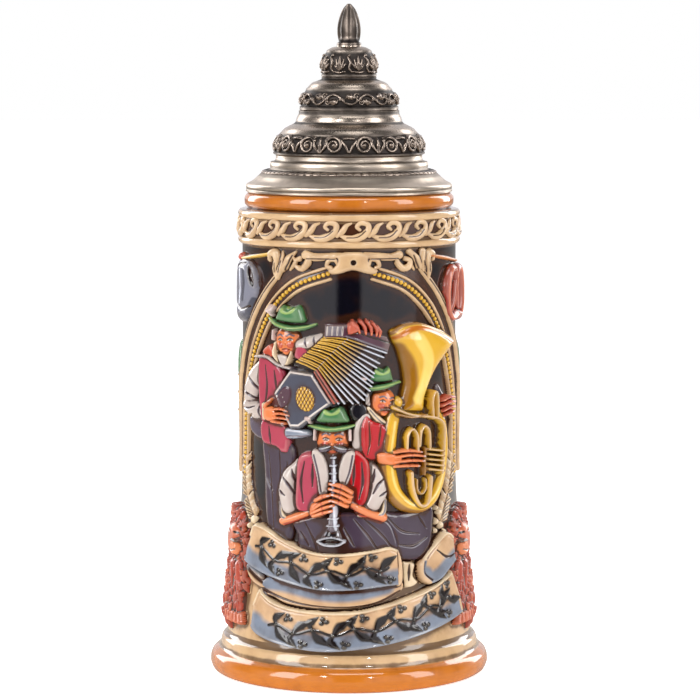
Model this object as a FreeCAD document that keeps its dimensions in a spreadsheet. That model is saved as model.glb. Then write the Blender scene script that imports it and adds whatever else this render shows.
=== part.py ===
"""Lidded beer stein: a glazed stoneware mug with applied relief, and a hinged pewter lid.

Frame: millimetres, +Z up, the origin at the centre of the foot on the mug's axis.
The relief faces -Y, the handle and the lid's hinge are at +Y, and the hinge pin runs along X.
"""

import FreeCAD, Part
import math
import os
import re

import Sketcher
from FreeCAD import Placement, Rotation, Vector

# Every driving size has one row: alias, value in millimetres (or degrees), what it measures.
SIZES = [
    # the mug
    ("mug_height", 216.0, "foot to rim"),
    ("body_radius", 47.9, "straight part of the wall"),
    ("flare_out", 7.4, "straight part of the wall out to the wall's foot"),
    ("foot_out", 7.6, "wall's foot out to the widest part of the foot ring"),
    ("foot_height", 10.5, "foot ring"),
    ("foot_round", 4.2, "rounding of the foot ring's two edges"),
    ("step_out", 2.7, "wall's foot out to the ridge above the foot ring"),
    ("step_height", 6.0, "ridge above the foot ring"),
    ("step_chamfer", 1.8, "slope at the top of that ridge"),
    ("flare_height", 93.5, "curved part of the wall, above the ridge"),
    ("wall_thick", 6.0, "stoneware wall"),
    ("floor_thick", 6.0, "floor of the mug"),
    ("floor_fillet", 9.0, "inside corner of the floor"),
    ("recess_depth", 3.0, "hollow under the foot"),
    ("land_width", 9.0, "flat ring that the foot stands on"),
    # ornament band and rim
    ("rim_in", 2.7, "straight part of the wall in to the rim"),
    ("rim_band", 6.5, "glazed lip, from the rim down"),
    ("rim_bulge", 3.9, "radius of the lip's round section"),
    ("rim_step", 0.5, "slope between the lip and the ornament band"),
    ("band_height", 15.5, "ornament band with its two ridges"),
    ("band_out", 0.7, "straight part of the wall out to the ornament band's ground"),
    ("ridge_height", 3.6, "each of the band's two ridges"),
    ("ridge_bulge", 1.95, "radius of a ridge's round section"),
    # the handle
    ("handle_out", 42.1, "wall to the handle's centre line, at its furthest"),
    ("handle_top_bend", 28.0, "radius of the upper bend"),
    ("handle_back_bend", 70.0, "radius of the long bend below it"),
    ("handle_back_turn", 38.0, "degrees that the long bend turns"),
    ("handle_drop", 20.0, "rim down to the centre line of the handle's top"),
    ("handle_width", 20.0, "section, across the mug"),
    ("handle_depth", 14.0, "section, away from the mug"),
    # the lid's turned pieces
    ("lid_gap", 0.2, "rim to the underside of the lid"),
    ("plug_gap", 1.2, "mouth of the mug to the lid's locating lip"),
    ("plug_depth", 4.0, "locating lip below the rim"),
    ("pewter_thick", 1.8, "pewter sheet and castings"),
    ("brim_out", 1.1, "rim of the mug out to the edge of the lid"),
    ("brim_height", 4.0, "underside of the lid to the top of its edge"),
    ("brim_slope", 4.6, "rise of the sloping brim"),
    ("brim_chamfer", 1.0, "lower corner of the lid's edge"),
    ("brim_width", 7.0, "sloping brim, in plan"),
    ("collar_radius", 35.3, "turned step above the brim"),
    ("collar_height", 5.0, "turned step above the brim"),
    ("collar_slope", 1.6, "rise from the brim to that step"),
    ("ledge_height", 0.8, "ledge that the lower tier sits on"),
    ("flange_height", 16.8, "underside of the lid to the lower tier"),
    ("lower_seat", 32.8, "ledge that the lower tier sits on"),
    ("lower_radius", 34.0, "lower tier"),
    ("lower_height", 19.6, "lower tier"),
    ("lower_skirt", 3.7, "upright foot of the lower tier"),
    ("lower_neck", 6.0, "upright neck of the lower tier"),
    ("middle_seat", 21.7, "ledge that the middle tier sits on"),
    ("middle_radius", 22.1, "middle tier"),
    ("middle_height", 14.7, "middle tier"),
    ("middle_skirt", 2.6, "upright foot of the middle tier"),
    ("middle_neck", 1.8, "upright neck of the middle tier"),
    ("upper_seat", 11.9, "ledge that the upper tier sits on"),
    ("upper_radius", 12.3, "upper tier"),
    ("upper_height", 14.2, "upper tier"),
    ("upper_skirt", 5.8, "upright foot of the upper tier"),
    ("upper_neck", 1.0, "upright neck of the upper tier"),
    ("neck_step", 1.2, "shoulder of each tier to its neck"),
    ("neck_radius", 5.0, "flat top of the upper tier"),
    ("finial_radius", 5.5, "finial"),
    ("finial_height", 18.5, "finial"),
    ("finial_stem", 4.8, "finial, below its ring"),
    ("finial_foot", 1.1, "finial, below its ring"),
    ("finial_ring", 1.7, "ring round the finial"),
    ("finial_tip", 0.8, "radius of the finial's blunt tip"),
    ("finial_bend", 24.0, "radius of the finial's sides, seen from the side"),
    ("screw_radius", 1.5, "finial screw"),
    ("screw_reach", 8.0, "finial screw inside the finial"),
    ("screw_gap", 0.5, "end of the screw to the bottom of its hole"),
    ("screw_head_radius", 3.2, "finial screw's head"),
    ("screw_head_height", 1.8, "finial screw's head"),
    # the hinge
    ("hinge_out", 11.7, "edge of the lid out to the hinge pin"),
    ("hinge_rise", 5.0, "rim up to the hinge pin"),
    ("knuckle_radius", 4.2, "hinge knuckles"),
    ("knuckle_length", 4.4, "each of the five knuckles"),
    ("knuckle_gap", 0.2, "between neighbouring knuckles"),
    ("sweep_gap", 0.5, "round a knuckle, to what turns past it"),
    ("pin_radius", 1.5, "hinge pin"),
    ("pin_gap", 0.05, "pin or screw to its hole"),
    ("cap_radius", 3.3, "cap on each end of the pin"),
    ("cap_thick", 1.4, "cap on each end of the pin"),
    ("leaf_thick", 4.0, "lid's hinge leaf"),
    ("leaf_rise_front", 1.8, "front end of the leaf's top, above its back"),
    ("leaf_set", 1.0, "inner end of the sloping brim to the leaf's front end"),
    ("leaf_gap", 0.5, "hinge leaf to the fixed knuckles"),
    ("stem_depth", 7.0, "stem between the collar and the knuckles"),
    ("strap_width", 8.0, "collar, along the handle"),
    ("strap_thick", 2.0, "collar round the handle"),
    ("strap_gap", 0.1, "collar to the handle"),
    ("lift_height", 34.0, "thumb lift"),
    ("lift_width", 20.0, "thumb lift, at its widest"),
    ("lift_waist", 7.5, "thumb lift, at its narrowest"),
    ("lift_foot", 11.5, "thumb lift, where it stands on the leaf"),
    ("waist_rise", 7.5, "foot of the thumb lift to its waist"),
    ("widest_rise", 21.0, "foot of the thumb lift to its widest"),
    ("lift_bend", 14.5, "radius of the thumb lift's rounded outline"),
    ("lift_thick", 3.6, "thumb lift"),
    ("lift_lean", 6.0, "degrees that the thumb lift leans back"),
    # applied relief
    ("relief_low", 2.0, "frame, towers and hanging things"),
    ("relief_mid", 3.2, "beasts, swags and the two players behind"),
    ("relief_high", 4.5, "player in front, lower ribbon"),
    ("relief_top", 6.0, "squeezebox, big horn and upper ribbon"),
    ("relief_full", 7.5, "pipe of the player in front"),
    ("leaf_rise", 1.3, "leaves of the ornament band"),
    ("leaf_margin", 0.4, "those leaves to the band's ridges"),
    ("leaf_count", 22, "leaves round the ornament band"),
    ("leaf_length", 11.5, "leaves of the ornament band"),
    ("relief_margin", 0.6, "artwork to the foot ridge and to the ornament band"),
]

DOC = FreeCAD.newDocument("beer_stein")
SHEET = DOC.addObject("Spreadsheet::Sheet", "Sizes")
for row, (alias, size, note) in enumerate(SIZES, start=1):
    SHEET.set(f"A{row}", alias)
    SHEET.set(f"B{row}", str(size))
    SHEET.set(f"C{row}", note)
    SHEET.setAlias(f"B{row}", alias)
DOC.recompute()

PARTS = []  # finished sub-parts, in the order they are made


def bound(text):
    """An expression over the sheet, from one that names its aliases alone."""
    return re.sub(r"\b[a-z]+(?:_[a-z]+)+\b", r"Sizes.\g<0>", text)


def size_of(text):
    """The present value of such an expression."""
    return float(SHEET.evalExpression(bound(text)))


def name_part(thing, label):
    """Marks an object as a finished sub-part. Its label names its file."""
    thing.Label = label
    PARTS.append(thing)
    return thing


# Heights and radii that several pieces share, as expressions over the sheet.
BASE_RADIUS = "(body_radius + flare_out)"
FOOT_RADIUS = f"({BASE_RADIUS} + foot_out)"
STEP_RADIUS = f"({BASE_RADIUS} + step_out)"
RIM_RADIUS = "(body_radius - rim_in)"
BAND_RADIUS = "(body_radius + band_out)"
BRIM_RADIUS = f"({RIM_RADIUS} + brim_out)"
BEAD_RADIUS = f"({BRIM_RADIUS} - brim_width)"
HINGE_BACK = f"({BRIM_RADIUS} + hinge_out)"
HANDLE_REACH = "(body_radius + handle_out)"
WALL_FOOT = "(foot_height + step_height + step_chamfer)"
FLARE_TOP = f"({WALL_FOOT} + flare_height)"
FLARE_BEND = "((flare_out^2 + flare_height^2) / (2 * flare_out))"
BAND_TOP = "(mug_height - rim_band - rim_step)"
BAND_FOOT = f"({BAND_TOP} - band_height)"
MOUTH = f"({RIM_RADIUS} - wall_thick)"
LID_FACE = "(mug_height + lid_gap)"
LOWER_FOOT = f"({LID_FACE} + flange_height)"
MIDDLE_FOOT = f"({LOWER_FOOT} + lower_height)"
UPPER_FOOT = f"({MIDDLE_FOOT} + middle_height)"
FINIAL_FOOT = f"({UPPER_FOOT} + upper_height)"
HINGE_HEIGHT = "(mug_height + hinge_rise)"
HANDLE_HEIGHT = "(mug_height - handle_drop)"
KNUCKLE_PITCH = "(knuckle_length + knuckle_gap)"
HINGE_WIDTH = f"(5 * knuckle_length + 4 * knuckle_gap)"


# --- sketches -------------------------------------------------------------------------------


def arc_middle(start, end, radius, left):
    """The point half way along an arc that bulges to the left or right of start to end."""
    chord = end - start
    half = chord.Length / 2
    rise = radius - math.sqrt(max(radius**2 - half**2, 0.0))
    across = Vector(-chord.y, chord.x, 0).normalize()
    return (start + end) / 2 + across * (rise if left else -rise)


def draw(sketch, corners, closed=True):
    """Draws a chain of lines and arcs whose corners and radii are bound to the sheet.

    A corner is (x, y), or (x, y, radius, side) when the edge that leaves it is an arc
    bulging to its "left" or "right". All are expressions over the sheet's aliases.
    """
    places = [Vector(size_of(c[0]), size_of(c[1]), 0) for c in corners]
    count = len(corners) if closed else len(corners) - 1
    ends = []  # (edge, its start point, its end point) with Sketcher's point numbers
    for i in range(count):
        here, there = places[i], places[(i + 1) % len(corners)]
        if len(corners[i]) == 4:
            middle = arc_middle(here, there, size_of(corners[i][2]), corners[i][3] == "left")
            edge = sketch.addGeometry(Part.Arc(here, middle, there), False)
            forward = (sketch.getPoint(edge, 1) - here).Length < 1e-6
            ends.append((edge, 1, 2) if forward else (edge, 2, 1))
        else:
            edge = sketch.addGeometry(Part.LineSegment(here, there), False)
            ends.append((edge, 1, 2))
    for i in range(count if closed else count - 1):
        edge, _, tail = ends[i]
        following, head, _ = ends[(i + 1) % count]
        sketch.addConstraint(Sketcher.Constraint("Coincident", edge, tail, following, head))
    for i, corner in enumerate(corners):
        edge, point = (ends[i][0], ends[i][1]) if i < count else (ends[-1][0], ends[-1][2])
        place_point(sketch, edge, point, "DistanceX", corner[0], -2)
        place_point(sketch, edge, point, "DistanceY", corner[1], -1)
        if len(corner) == 4:
            bind(sketch, Sketcher.Constraint("Radius", edge, size_of(corner[2])), corner[2])
    return sketch


def place_point(sketch, edge, point, kind, text, axis):
    """Ties one coordinate of a sketch point to the sheet, or puts the point on the axis."""
    if text == "0":
        sketch.addConstraint(Sketcher.Constraint("PointOnObject", edge, point, axis))
    else:
        bind(sketch, Sketcher.Constraint(kind, -1, 1, edge, point, size_of(text)), text)


def bind(sketch, constraint, text):
    """Adds a dimension and binds it to the sheet."""
    index = sketch.addConstraint(constraint)
    sketch.setExpression(f"Constraints[{index}]", bound(text))


def sketch_on(body, role, name):
    """A sketch on one of the body's own origin planes."""
    plane = next(f for f in body.Origin.OriginFeatures if f.Role == role)
    sketch = body.newObject("Sketcher::SketchObject", name)
    sketch.AttachmentSupport = [(plane, "")]
    sketch.MapMode = "FlatFace"
    return sketch


# The outline of a turned piece starts and ends here, in degrees from +X. That is behind the mug,
# clear of the handle and of the relief, so that no sprig lies across the seam.
SEAM = 135


def turned_body(name, corners):
    """A body turned about the Z axis from an outline in its own XZ plane."""
    body = DOC.addObject("PartDesign::Body", name)
    outline = draw(sketch_on(body, "XZ_Plane", name + "_outline"), corners)
    turn = body.newObject("PartDesign::Revolution", name + "_turn")
    turn.Profile = outline
    turn.ReferenceAxis = (outline, ["V_Axis"])
    turn.Angle = 360
    body.Tip = turn
    body.Placement = Placement(Vector(), Rotation(Vector(0, 0, 1), SEAM))
    DOC.recompute()
    return body


# --- booleans and primitives --------------------------------------------------------------


def cut(base, tool, name):
    """base less tool."""
    made = DOC.addObject("Part::Cut", name)
    made.Base = base
    made.Tool = tool
    return made


def join(things, name):
    """Several objects as one. Those that don't touch stay separate solids."""
    made = DOC.addObject("Part::MultiFuse", name)
    made.Shapes = things
    return made


def rod(name, radius, length, start_x):
    """A cylinder along X about the hinge axis, starting at start_x."""
    made = DOC.addObject("Part::Cylinder", name)
    made.setExpression("Radius", bound(radius))
    made.setExpression("Height", bound(length))
    made.Placement = Placement(Vector(), Rotation(Vector(0, 1, 0), 90))
    made.setExpression("Placement.Base.x", bound(start_x))
    made.setExpression("Placement.Base.y", bound(HINGE_BACK))
    made.setExpression("Placement.Base.z", bound(HINGE_HEIGHT))
    return made


def block(name, width, corners):
    """An outline in the YZ plane, padded to both sides of it."""
    body = DOC.addObject("PartDesign::Body", name)
    outline = draw(sketch_on(body, "YZ_Plane", name + "_outline"), corners)
    pad = body.newObject("PartDesign::Pad", name + "_pad")
    pad.Profile = outline
    pad.setExpression("Length", bound(width))
    pad.Midplane = True
    body.Tip = pad
    DOC.recompute()
    return body


# --- the mug and its handle --------------------------------------------------------------


def make_mug():
    """The stoneware mug, and the same shape unhollowed, which other pieces are trimmed to."""
    blank = turned_body(
        "mug_blank",
        [
            ("0", "0"),
            (f"{FOOT_RADIUS} - foot_round", "0", "foot_round", "right"),
            (FOOT_RADIUS, "foot_round"),
            (FOOT_RADIUS, "foot_height - foot_round", "foot_round", "right"),
            (f"{FOOT_RADIUS} - foot_round", "foot_height"),
            (STEP_RADIUS, "foot_height"),
            (STEP_RADIUS, "foot_height + step_height"),
            (BASE_RADIUS, WALL_FOOT, FLARE_BEND, "left"),
            ("body_radius", FLARE_TOP),
            ("body_radius", BAND_FOOT),
            (BAND_RADIUS, BAND_FOOT, "ridge_bulge", "right"),
            (BAND_RADIUS, f"{BAND_FOOT} + ridge_height"),
            (BAND_RADIUS, f"{BAND_TOP} - ridge_height", "ridge_bulge", "right"),
            (BAND_RADIUS, BAND_TOP),
            (RIM_RADIUS, "mug_height - rim_band", "rim_bulge", "right"),
            (RIM_RADIUS, "mug_height"),
            ("0", "mug_height"),
        ],
    )
    hollow = turned_body(
        "mug_hollow",
        [
            ("0", "recess_depth + floor_thick"),
            (
                f"{BASE_RADIUS} - wall_thick - floor_fillet",
                "recess_depth + floor_thick",
                "floor_fillet",
                "right",
            ),
            (f"{BASE_RADIUS} - wall_thick", "recess_depth + floor_thick + floor_fillet"),
            (f"{BASE_RADIUS} - wall_thick", WALL_FOOT, f"{FLARE_BEND} + wall_thick", "left"),
            ("body_radius - wall_thick", FLARE_TOP),
            ("body_radius - wall_thick", f"{BAND_TOP} - ridge_height"),
            (MOUTH, "mug_height - plug_depth"),
            (MOUTH, "mug_height + lid_gap"),
            ("0", "mug_height + lid_gap"),
        ],
    )
    recess = DOC.addObject("Part::Cylinder", "foot_recess")
    recess.setExpression("Radius", bound(f"{FOOT_RADIUS} - foot_round - land_width"))
    recess.setExpression("Height", bound("recess_depth"))
    hollows = join([hollow, recess], "mug_hollows")
    name_part(cut(blank, hollows, "mug_body_cut"), "mug_body")
    return blank


def stadium(grow, middle):
    """Corners of the handle's section, a flat oval grown by some amount, centred on middle."""
    hair = 0.0005  # keeps each end just under a half circle, so that its side is never in doubt
    half_flat = "(handle_width - handle_depth) / 2"
    half_deep = f"(handle_depth / 2 + {grow})"
    return [
        (f"-{half_flat}", f"{middle} - {half_deep}"),
        (half_flat, f"{middle} - {half_deep}", f"{half_deep} + {hair}", "right"),
        (half_flat, f"{middle} + {half_deep}"),
        (f"-{half_flat}", f"{middle} + {half_deep}", f"{half_deep} + {hair}", "right"),
    ]


def make_handle(blank):
    """The ear-shaped handle, luted to the wall: out, round the top bend, down and back in."""
    turn = "handle_back_turn * pi / 180"
    bend_y = f"({HANDLE_REACH} - handle_top_bend)"
    back_y = f"({HANDLE_REACH} - handle_back_bend)"
    root_y = "(body_radius - wall_thick / 2)"
    bend_z = f"({HANDLE_HEIGHT} - handle_top_bend)"
    tail_y = f"({back_y} + handle_back_bend * cos(handle_back_turn))"
    tail_z = f"({bend_z} - handle_back_bend * sin(handle_back_turn))"
    run = f"(({tail_y} - {root_y}) / tan(handle_back_turn))"
    body = DOC.addObject("PartDesign::Body", "handle_sweep")
    path = draw(
        sketch_on(body, "YZ_Plane", "handle_path"),
        [
            (root_y, HANDLE_HEIGHT),
            (bend_y, HANDLE_HEIGHT, "handle_top_bend", "left"),
            (HANDLE_REACH, bend_z, "handle_back_bend", "left"),
            (tail_y, tail_z),
            (root_y, f"{tail_z} - {run}"),
        ],
        closed=False,
    )
    section = sketch_on(body, "XZ_Plane", "handle_section")
    section.setExpression("AttachmentOffset.Base.z", bound(f"-{root_y}"))
    draw(section, stadium("0", HANDLE_HEIGHT))
    sweep = body.newObject("PartDesign::AdditivePipe", "handle_pipe")
    sweep.Profile = section
    sweep.Spine = (path, [])
    body.Tip = sweep
    DOC.recompute()
    return name_part(cut(body, blank, "handle_cut"), "handle")


# --- the lid ------------------------------------------------------------------------------


def make_lid():
    """The pewter lid's turned pieces, from the flange up to the finial and its screw."""
    plug = f"({MOUTH} - plug_gap)"
    shoulder = f"({LID_FACE} + brim_height + brim_slope)"
    flange = turned_body(
        "lid_flange_turned",
        [
            ("0", "mug_height - plug_depth"),
            (plug, "mug_height - plug_depth"),
            (plug, LID_FACE),
            (f"{BRIM_RADIUS} - brim_chamfer", LID_FACE),
            (BRIM_RADIUS, f"{LID_FACE} + brim_chamfer"),
            (BRIM_RADIUS, f"{LID_FACE} + brim_height"),
            (BEAD_RADIUS, shoulder),
            ("collar_radius", f"{shoulder} + collar_slope"),
            ("collar_radius", f"{shoulder} + collar_height"),
            ("lower_seat", f"{LOWER_FOOT} - ledge_height"),
            ("lower_seat", LOWER_FOOT),
            ("lower_seat - 2 * pewter_thick", LOWER_FOOT),
            ("lower_seat - 2 * pewter_thick", "mug_height - plug_depth + pewter_thick"),
            ("0", "mug_height - plug_depth + pewter_thick"),
        ],
    )
    name_part(flange, "lid_flange")
    name_part(tier("lower", LOWER_FOOT, MIDDLE_FOOT, "middle_seat"), "lower_tier")
    name_part(tier("middle", MIDDLE_FOOT, UPPER_FOOT, "upper_seat"), "middle_tier")
    crown = tier("upper", UPPER_FOOT, FINIAL_FOOT, "neck_radius")
    hole = DOC.addObject("Part::Cylinder", "screw_hole")
    hole.setExpression("Radius", bound("screw_radius + pin_gap"))
    hole.setExpression("Height", bound("2 * upper_height"))
    hole.setExpression("Placement.Base.z", bound(UPPER_FOOT))
    name_part(cut(crown, hole, "upper_tier_cut"), "upper_tier")
    make_finial()
    return flange


def tier(which, foot, top, seat):
    """A hollow tier: an upright skirt, a round shoulder and a neck with a flat top."""
    radius, skirt, neck = f"{which}_radius", f"{which}_skirt", f"{which}_neck"
    shoulder_foot, shoulder_top = f"({foot} + {skirt})", f"({top} - {neck})"
    across = f"({radius} - {seat} - neck_step)"
    rise = f"({shoulder_top} - {shoulder_foot})"
    bend = f"(({across}^2 + {rise}^2) / (2 * {across}))"
    inner = f"({radius} - pewter_thick)"
    return turned_body(
        f"{which}_tier_turned",
        [
            (f"{inner} - pewter_thick", foot),
            (radius, foot),
            (radius, shoulder_foot, bend, "right"),
            (f"{seat} + neck_step", shoulder_top),
            (seat, shoulder_top),
            (seat, top),
            ("0", top),
            ("0", f"{top} - pewter_thick"),
            (f"{seat} - pewter_thick", f"{top} - pewter_thick"),
            (f"{seat} - pewter_thick", f"{shoulder_top} - pewter_thick"),
            (inner, f"{shoulder_foot} - pewter_thick / 2"),
            (inner, f"{foot} + pewter_thick / 2"),
            (f"{inner} - pewter_thick", f"{foot} + pewter_thick / 2"),
        ],
    )


def make_finial():
    """The bullet-shaped finial and the screw that holds it from inside the upper tier."""
    ring_top = f"{FINIAL_FOOT} + finial_foot + finial_ring"
    finial = turned_body(
        "finial_turned",
        [
            ("screw_radius + pin_gap", FINIAL_FOOT),
            ("finial_stem", FINIAL_FOOT),
            ("finial_stem", f"{FINIAL_FOOT} + finial_foot"),
            ("finial_radius", f"{FINIAL_FOOT} + finial_foot"),
            ("finial_radius", ring_top),
            ("finial_stem", ring_top, "finial_bend", "right"),
            ("finial_tip", f"{FINIAL_FOOT} + finial_height - finial_tip"),
            ("0", f"{FINIAL_FOOT} + finial_height"),
            ("0", f"{FINIAL_FOOT} + screw_reach"),
            ("screw_radius + pin_gap", f"{FINIAL_FOOT} + screw_reach"),
        ],
    )
    name_part(finial, "finial")
    screw = turned_body(
        "finial_screw_turned",
        [
            ("0", f"{FINIAL_FOOT} - pewter_thick - screw_head_height"),
            ("screw_head_radius", f"{FINIAL_FOOT} - pewter_thick - screw_head_height"),
            ("screw_head_radius", f"{FINIAL_FOOT} - pewter_thick"),
            ("screw_radius", f"{FINIAL_FOOT} - pewter_thick"),
            ("screw_radius", f"{FINIAL_FOOT} + screw_reach - screw_gap"),
            ("0", f"{FINIAL_FOOT} + screw_reach - screw_gap"),
        ],
    )
    name_part(screw, "finial_screw")


# --- the hinge ----------------------------------------------------------------------------


def knuckles(prefix, places, radius, grow="0"):
    """Rods about the hinge axis, one for each numbered place from -2 to 2."""
    made = []
    for place in places:
        start = f"{place} * {KNUCKLE_PITCH} - knuckle_length / 2 - {grow}"
        name = f"{prefix}_{place + 2}"
        made.append(rod(name, radius, f"knuckle_length + 2 * {grow}", start))
    return made


def make_hinge(blank, flange):
    """Five knuckles on one pin: three stand on the handle's collar, two are the lid's leaf."""
    bore = "pin_radius + pin_gap"
    fixed_places, lid_places = (-2, 0, 2), (-1, 1)
    strap_top = f"({HANDLE_HEIGHT} + handle_depth / 2 + strap_gap + strap_thick)"
    stem_front = f"{HINGE_BACK} - stem_depth / 2"
    stem_back = f"{HINGE_BACK} + stem_depth / 2"
    stem = block(
        "hinge_stem",
        HINGE_WIDTH,
        [
            (stem_front, strap_top),
            (stem_back, strap_top),
            (stem_back, HINGE_HEIGHT),
            (stem_front, HINGE_HEIGHT),
        ],
    )
    solid = join([stem, *knuckles("fixed_knuckle", fixed_places, "knuckle_radius")], "block_solid")
    slots = knuckles("slot", lid_places, "knuckle_radius + sweep_gap", "knuckle_gap")
    pin_hole = rod("block_bore", bore, f"2 * {HINGE_WIDTH}", f"-{HINGE_WIDTH}")
    name_part(cut(solid, join([*slots, pin_hole], "block_cuts"), "block_cut"), "hinge_block")

    plate_top = f"{HINGE_HEIGHT} + leaf_thick / 2"
    plate_foot = f"{HINGE_HEIGHT} - leaf_thick / 2"
    plate = block(
        "leaf_plate",
        HINGE_WIDTH,
        [
            (f"{BEAD_RADIUS} + leaf_set", f"{plate_top} + leaf_rise_front"),
            (f"{BEAD_RADIUS} + leaf_set", plate_foot),
            (f"{HINGE_BACK} - knuckle_radius - leaf_gap", plate_foot),
            (f"{HINGE_BACK} - knuckle_radius - leaf_gap", plate_top),
        ],
    )
    web = block(
        "leaf_web",
        "3 * knuckle_length + 2 * knuckle_gap",
        [
            (f"{HINGE_BACK} - knuckle_radius - leaf_gap", plate_foot),
            (HINGE_BACK, plate_foot),
            (HINGE_BACK, plate_top),
            (f"{HINGE_BACK} - knuckle_radius - leaf_gap", plate_top),
        ],
    )
    centre_slot = knuckles("centre_slot", (0,), "knuckle_radius + sweep_gap", "knuckle_gap")
    webs = cut(web, centre_slot[0], "leaf_webs")
    leaf = join([plate, webs, *knuckles("lid_knuckle", lid_places, "knuckle_radius")], "leaf_solid")
    leaf_bore = rod("leaf_bore", bore, f"2 * {HINGE_WIDTH}", f"-{HINGE_WIDTH}")
    leaf_cuts = join([flange, leaf_bore], "leaf_cuts")
    leaf = name_part(cut(leaf, leaf_cuts, "leaf_cut"), "lid_hinge_leaf")
    make_pin()
    make_thumb_lift(leaf)
    make_collar()


def make_pin():
    """The hinge pin, with a cap closed over each end."""
    name_part(rod("pin", "pin_radius", HINGE_WIDTH, f"-{HINGE_WIDTH} / 2"), "hinge_pin")
    ends = [
        rod("cap_right", "cap_radius", "cap_thick", f"{HINGE_WIDTH} / 2"),
        rod("cap_left", "cap_radius", "cap_thick", f"-{HINGE_WIDTH} / 2 - cap_thick"),
    ]
    name_part(join(ends, "caps"), "pin_caps")


def make_thumb_lift(leaf):
    """The thumb lift: a waisted leaf shape that stands on the lid's hinge leaf."""
    foot = f"({HINGE_HEIGHT} + leaf_thick / 2)"
    top = f"{foot} + lift_height"
    body = DOC.addObject("PartDesign::Body", "lift_body")
    outline = draw(
        sketch_on(body, "XZ_Plane", "lift_outline"),
        [
            ("lift_foot / 2", foot),
            ("lift_waist / 2", f"{foot} + waist_rise"),
            ("lift_width / 2", f"{foot} + widest_rise", "lift_bend", "right"),
            ("0", top, "lift_bend", "right"),
            ("-lift_width / 2", f"{foot} + widest_rise"),
            ("-lift_waist / 2", f"{foot} + waist_rise"),
            ("-lift_foot / 2", foot),
        ],
    )
    outline.setExpression("AttachmentOffset.Base.z", bound(f"-{HINGE_BACK} + knuckle_radius"))
    pad = body.newObject("PartDesign::Pad", "lift_pad")
    pad.Profile = outline
    pad.setExpression("Length", bound("lift_thick"))
    pad.Midplane = True
    body.Tip = pad
    DOC.recompute()
    foot_y, foot_z = size_of(f"{HINGE_BACK} - knuckle_radius"), size_of(foot)
    turned = Rotation(Vector(1, 0, 0), -size_of("lift_lean"))
    about = Vector(0, foot_y, foot_z)
    body.Placement = Placement(about - turned.multVec(about), turned)
    clear = rod("lift_clear", "knuckle_radius + sweep_gap", HINGE_WIDTH, f"-{HINGE_WIDTH} / 2")
    name_part(cut(body, join([leaf, clear], "lift_cuts"), "lift_cut"), "thumb_lift")


def make_collar():
    """The cast collar that grips the handle's top under the hinge."""
    body = DOC.addObject("PartDesign::Body", "collar_body")
    outline = sketch_on(body, "XZ_Plane", "collar_outline")
    outline.setExpression("AttachmentOffset.Base.z", bound(f"-{HINGE_BACK}"))
    draw(outline, stadium("strap_gap + strap_thick", HANDLE_HEIGHT))
    draw(outline, stadium("strap_gap", HANDLE_HEIGHT))
    pad = body.newObject("PartDesign::Pad", "collar_pad")
    pad.Profile = outline
    pad.setExpression("Length", bound("strap_width"))
    pad.Midplane = True
    body.Tip = pad
    DOC.recompute()
    name_part(body, "handle_collar")


# --- the applied relief -------------------------------------------------------------------

# The relief is drawn flat, on a sheet that is wrapped round the mug and stretched to the wall
# between the foot's ridge and the ornament band. ART_RADIUS is the radius it is drawn for, and
# ART_FOOT and ART_TOP are the heights that the ends of the sheet are drawn at.
ART_RADIUS, ART_FOOT, ART_TOP = 48.0, 18.9, 192.9

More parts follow.
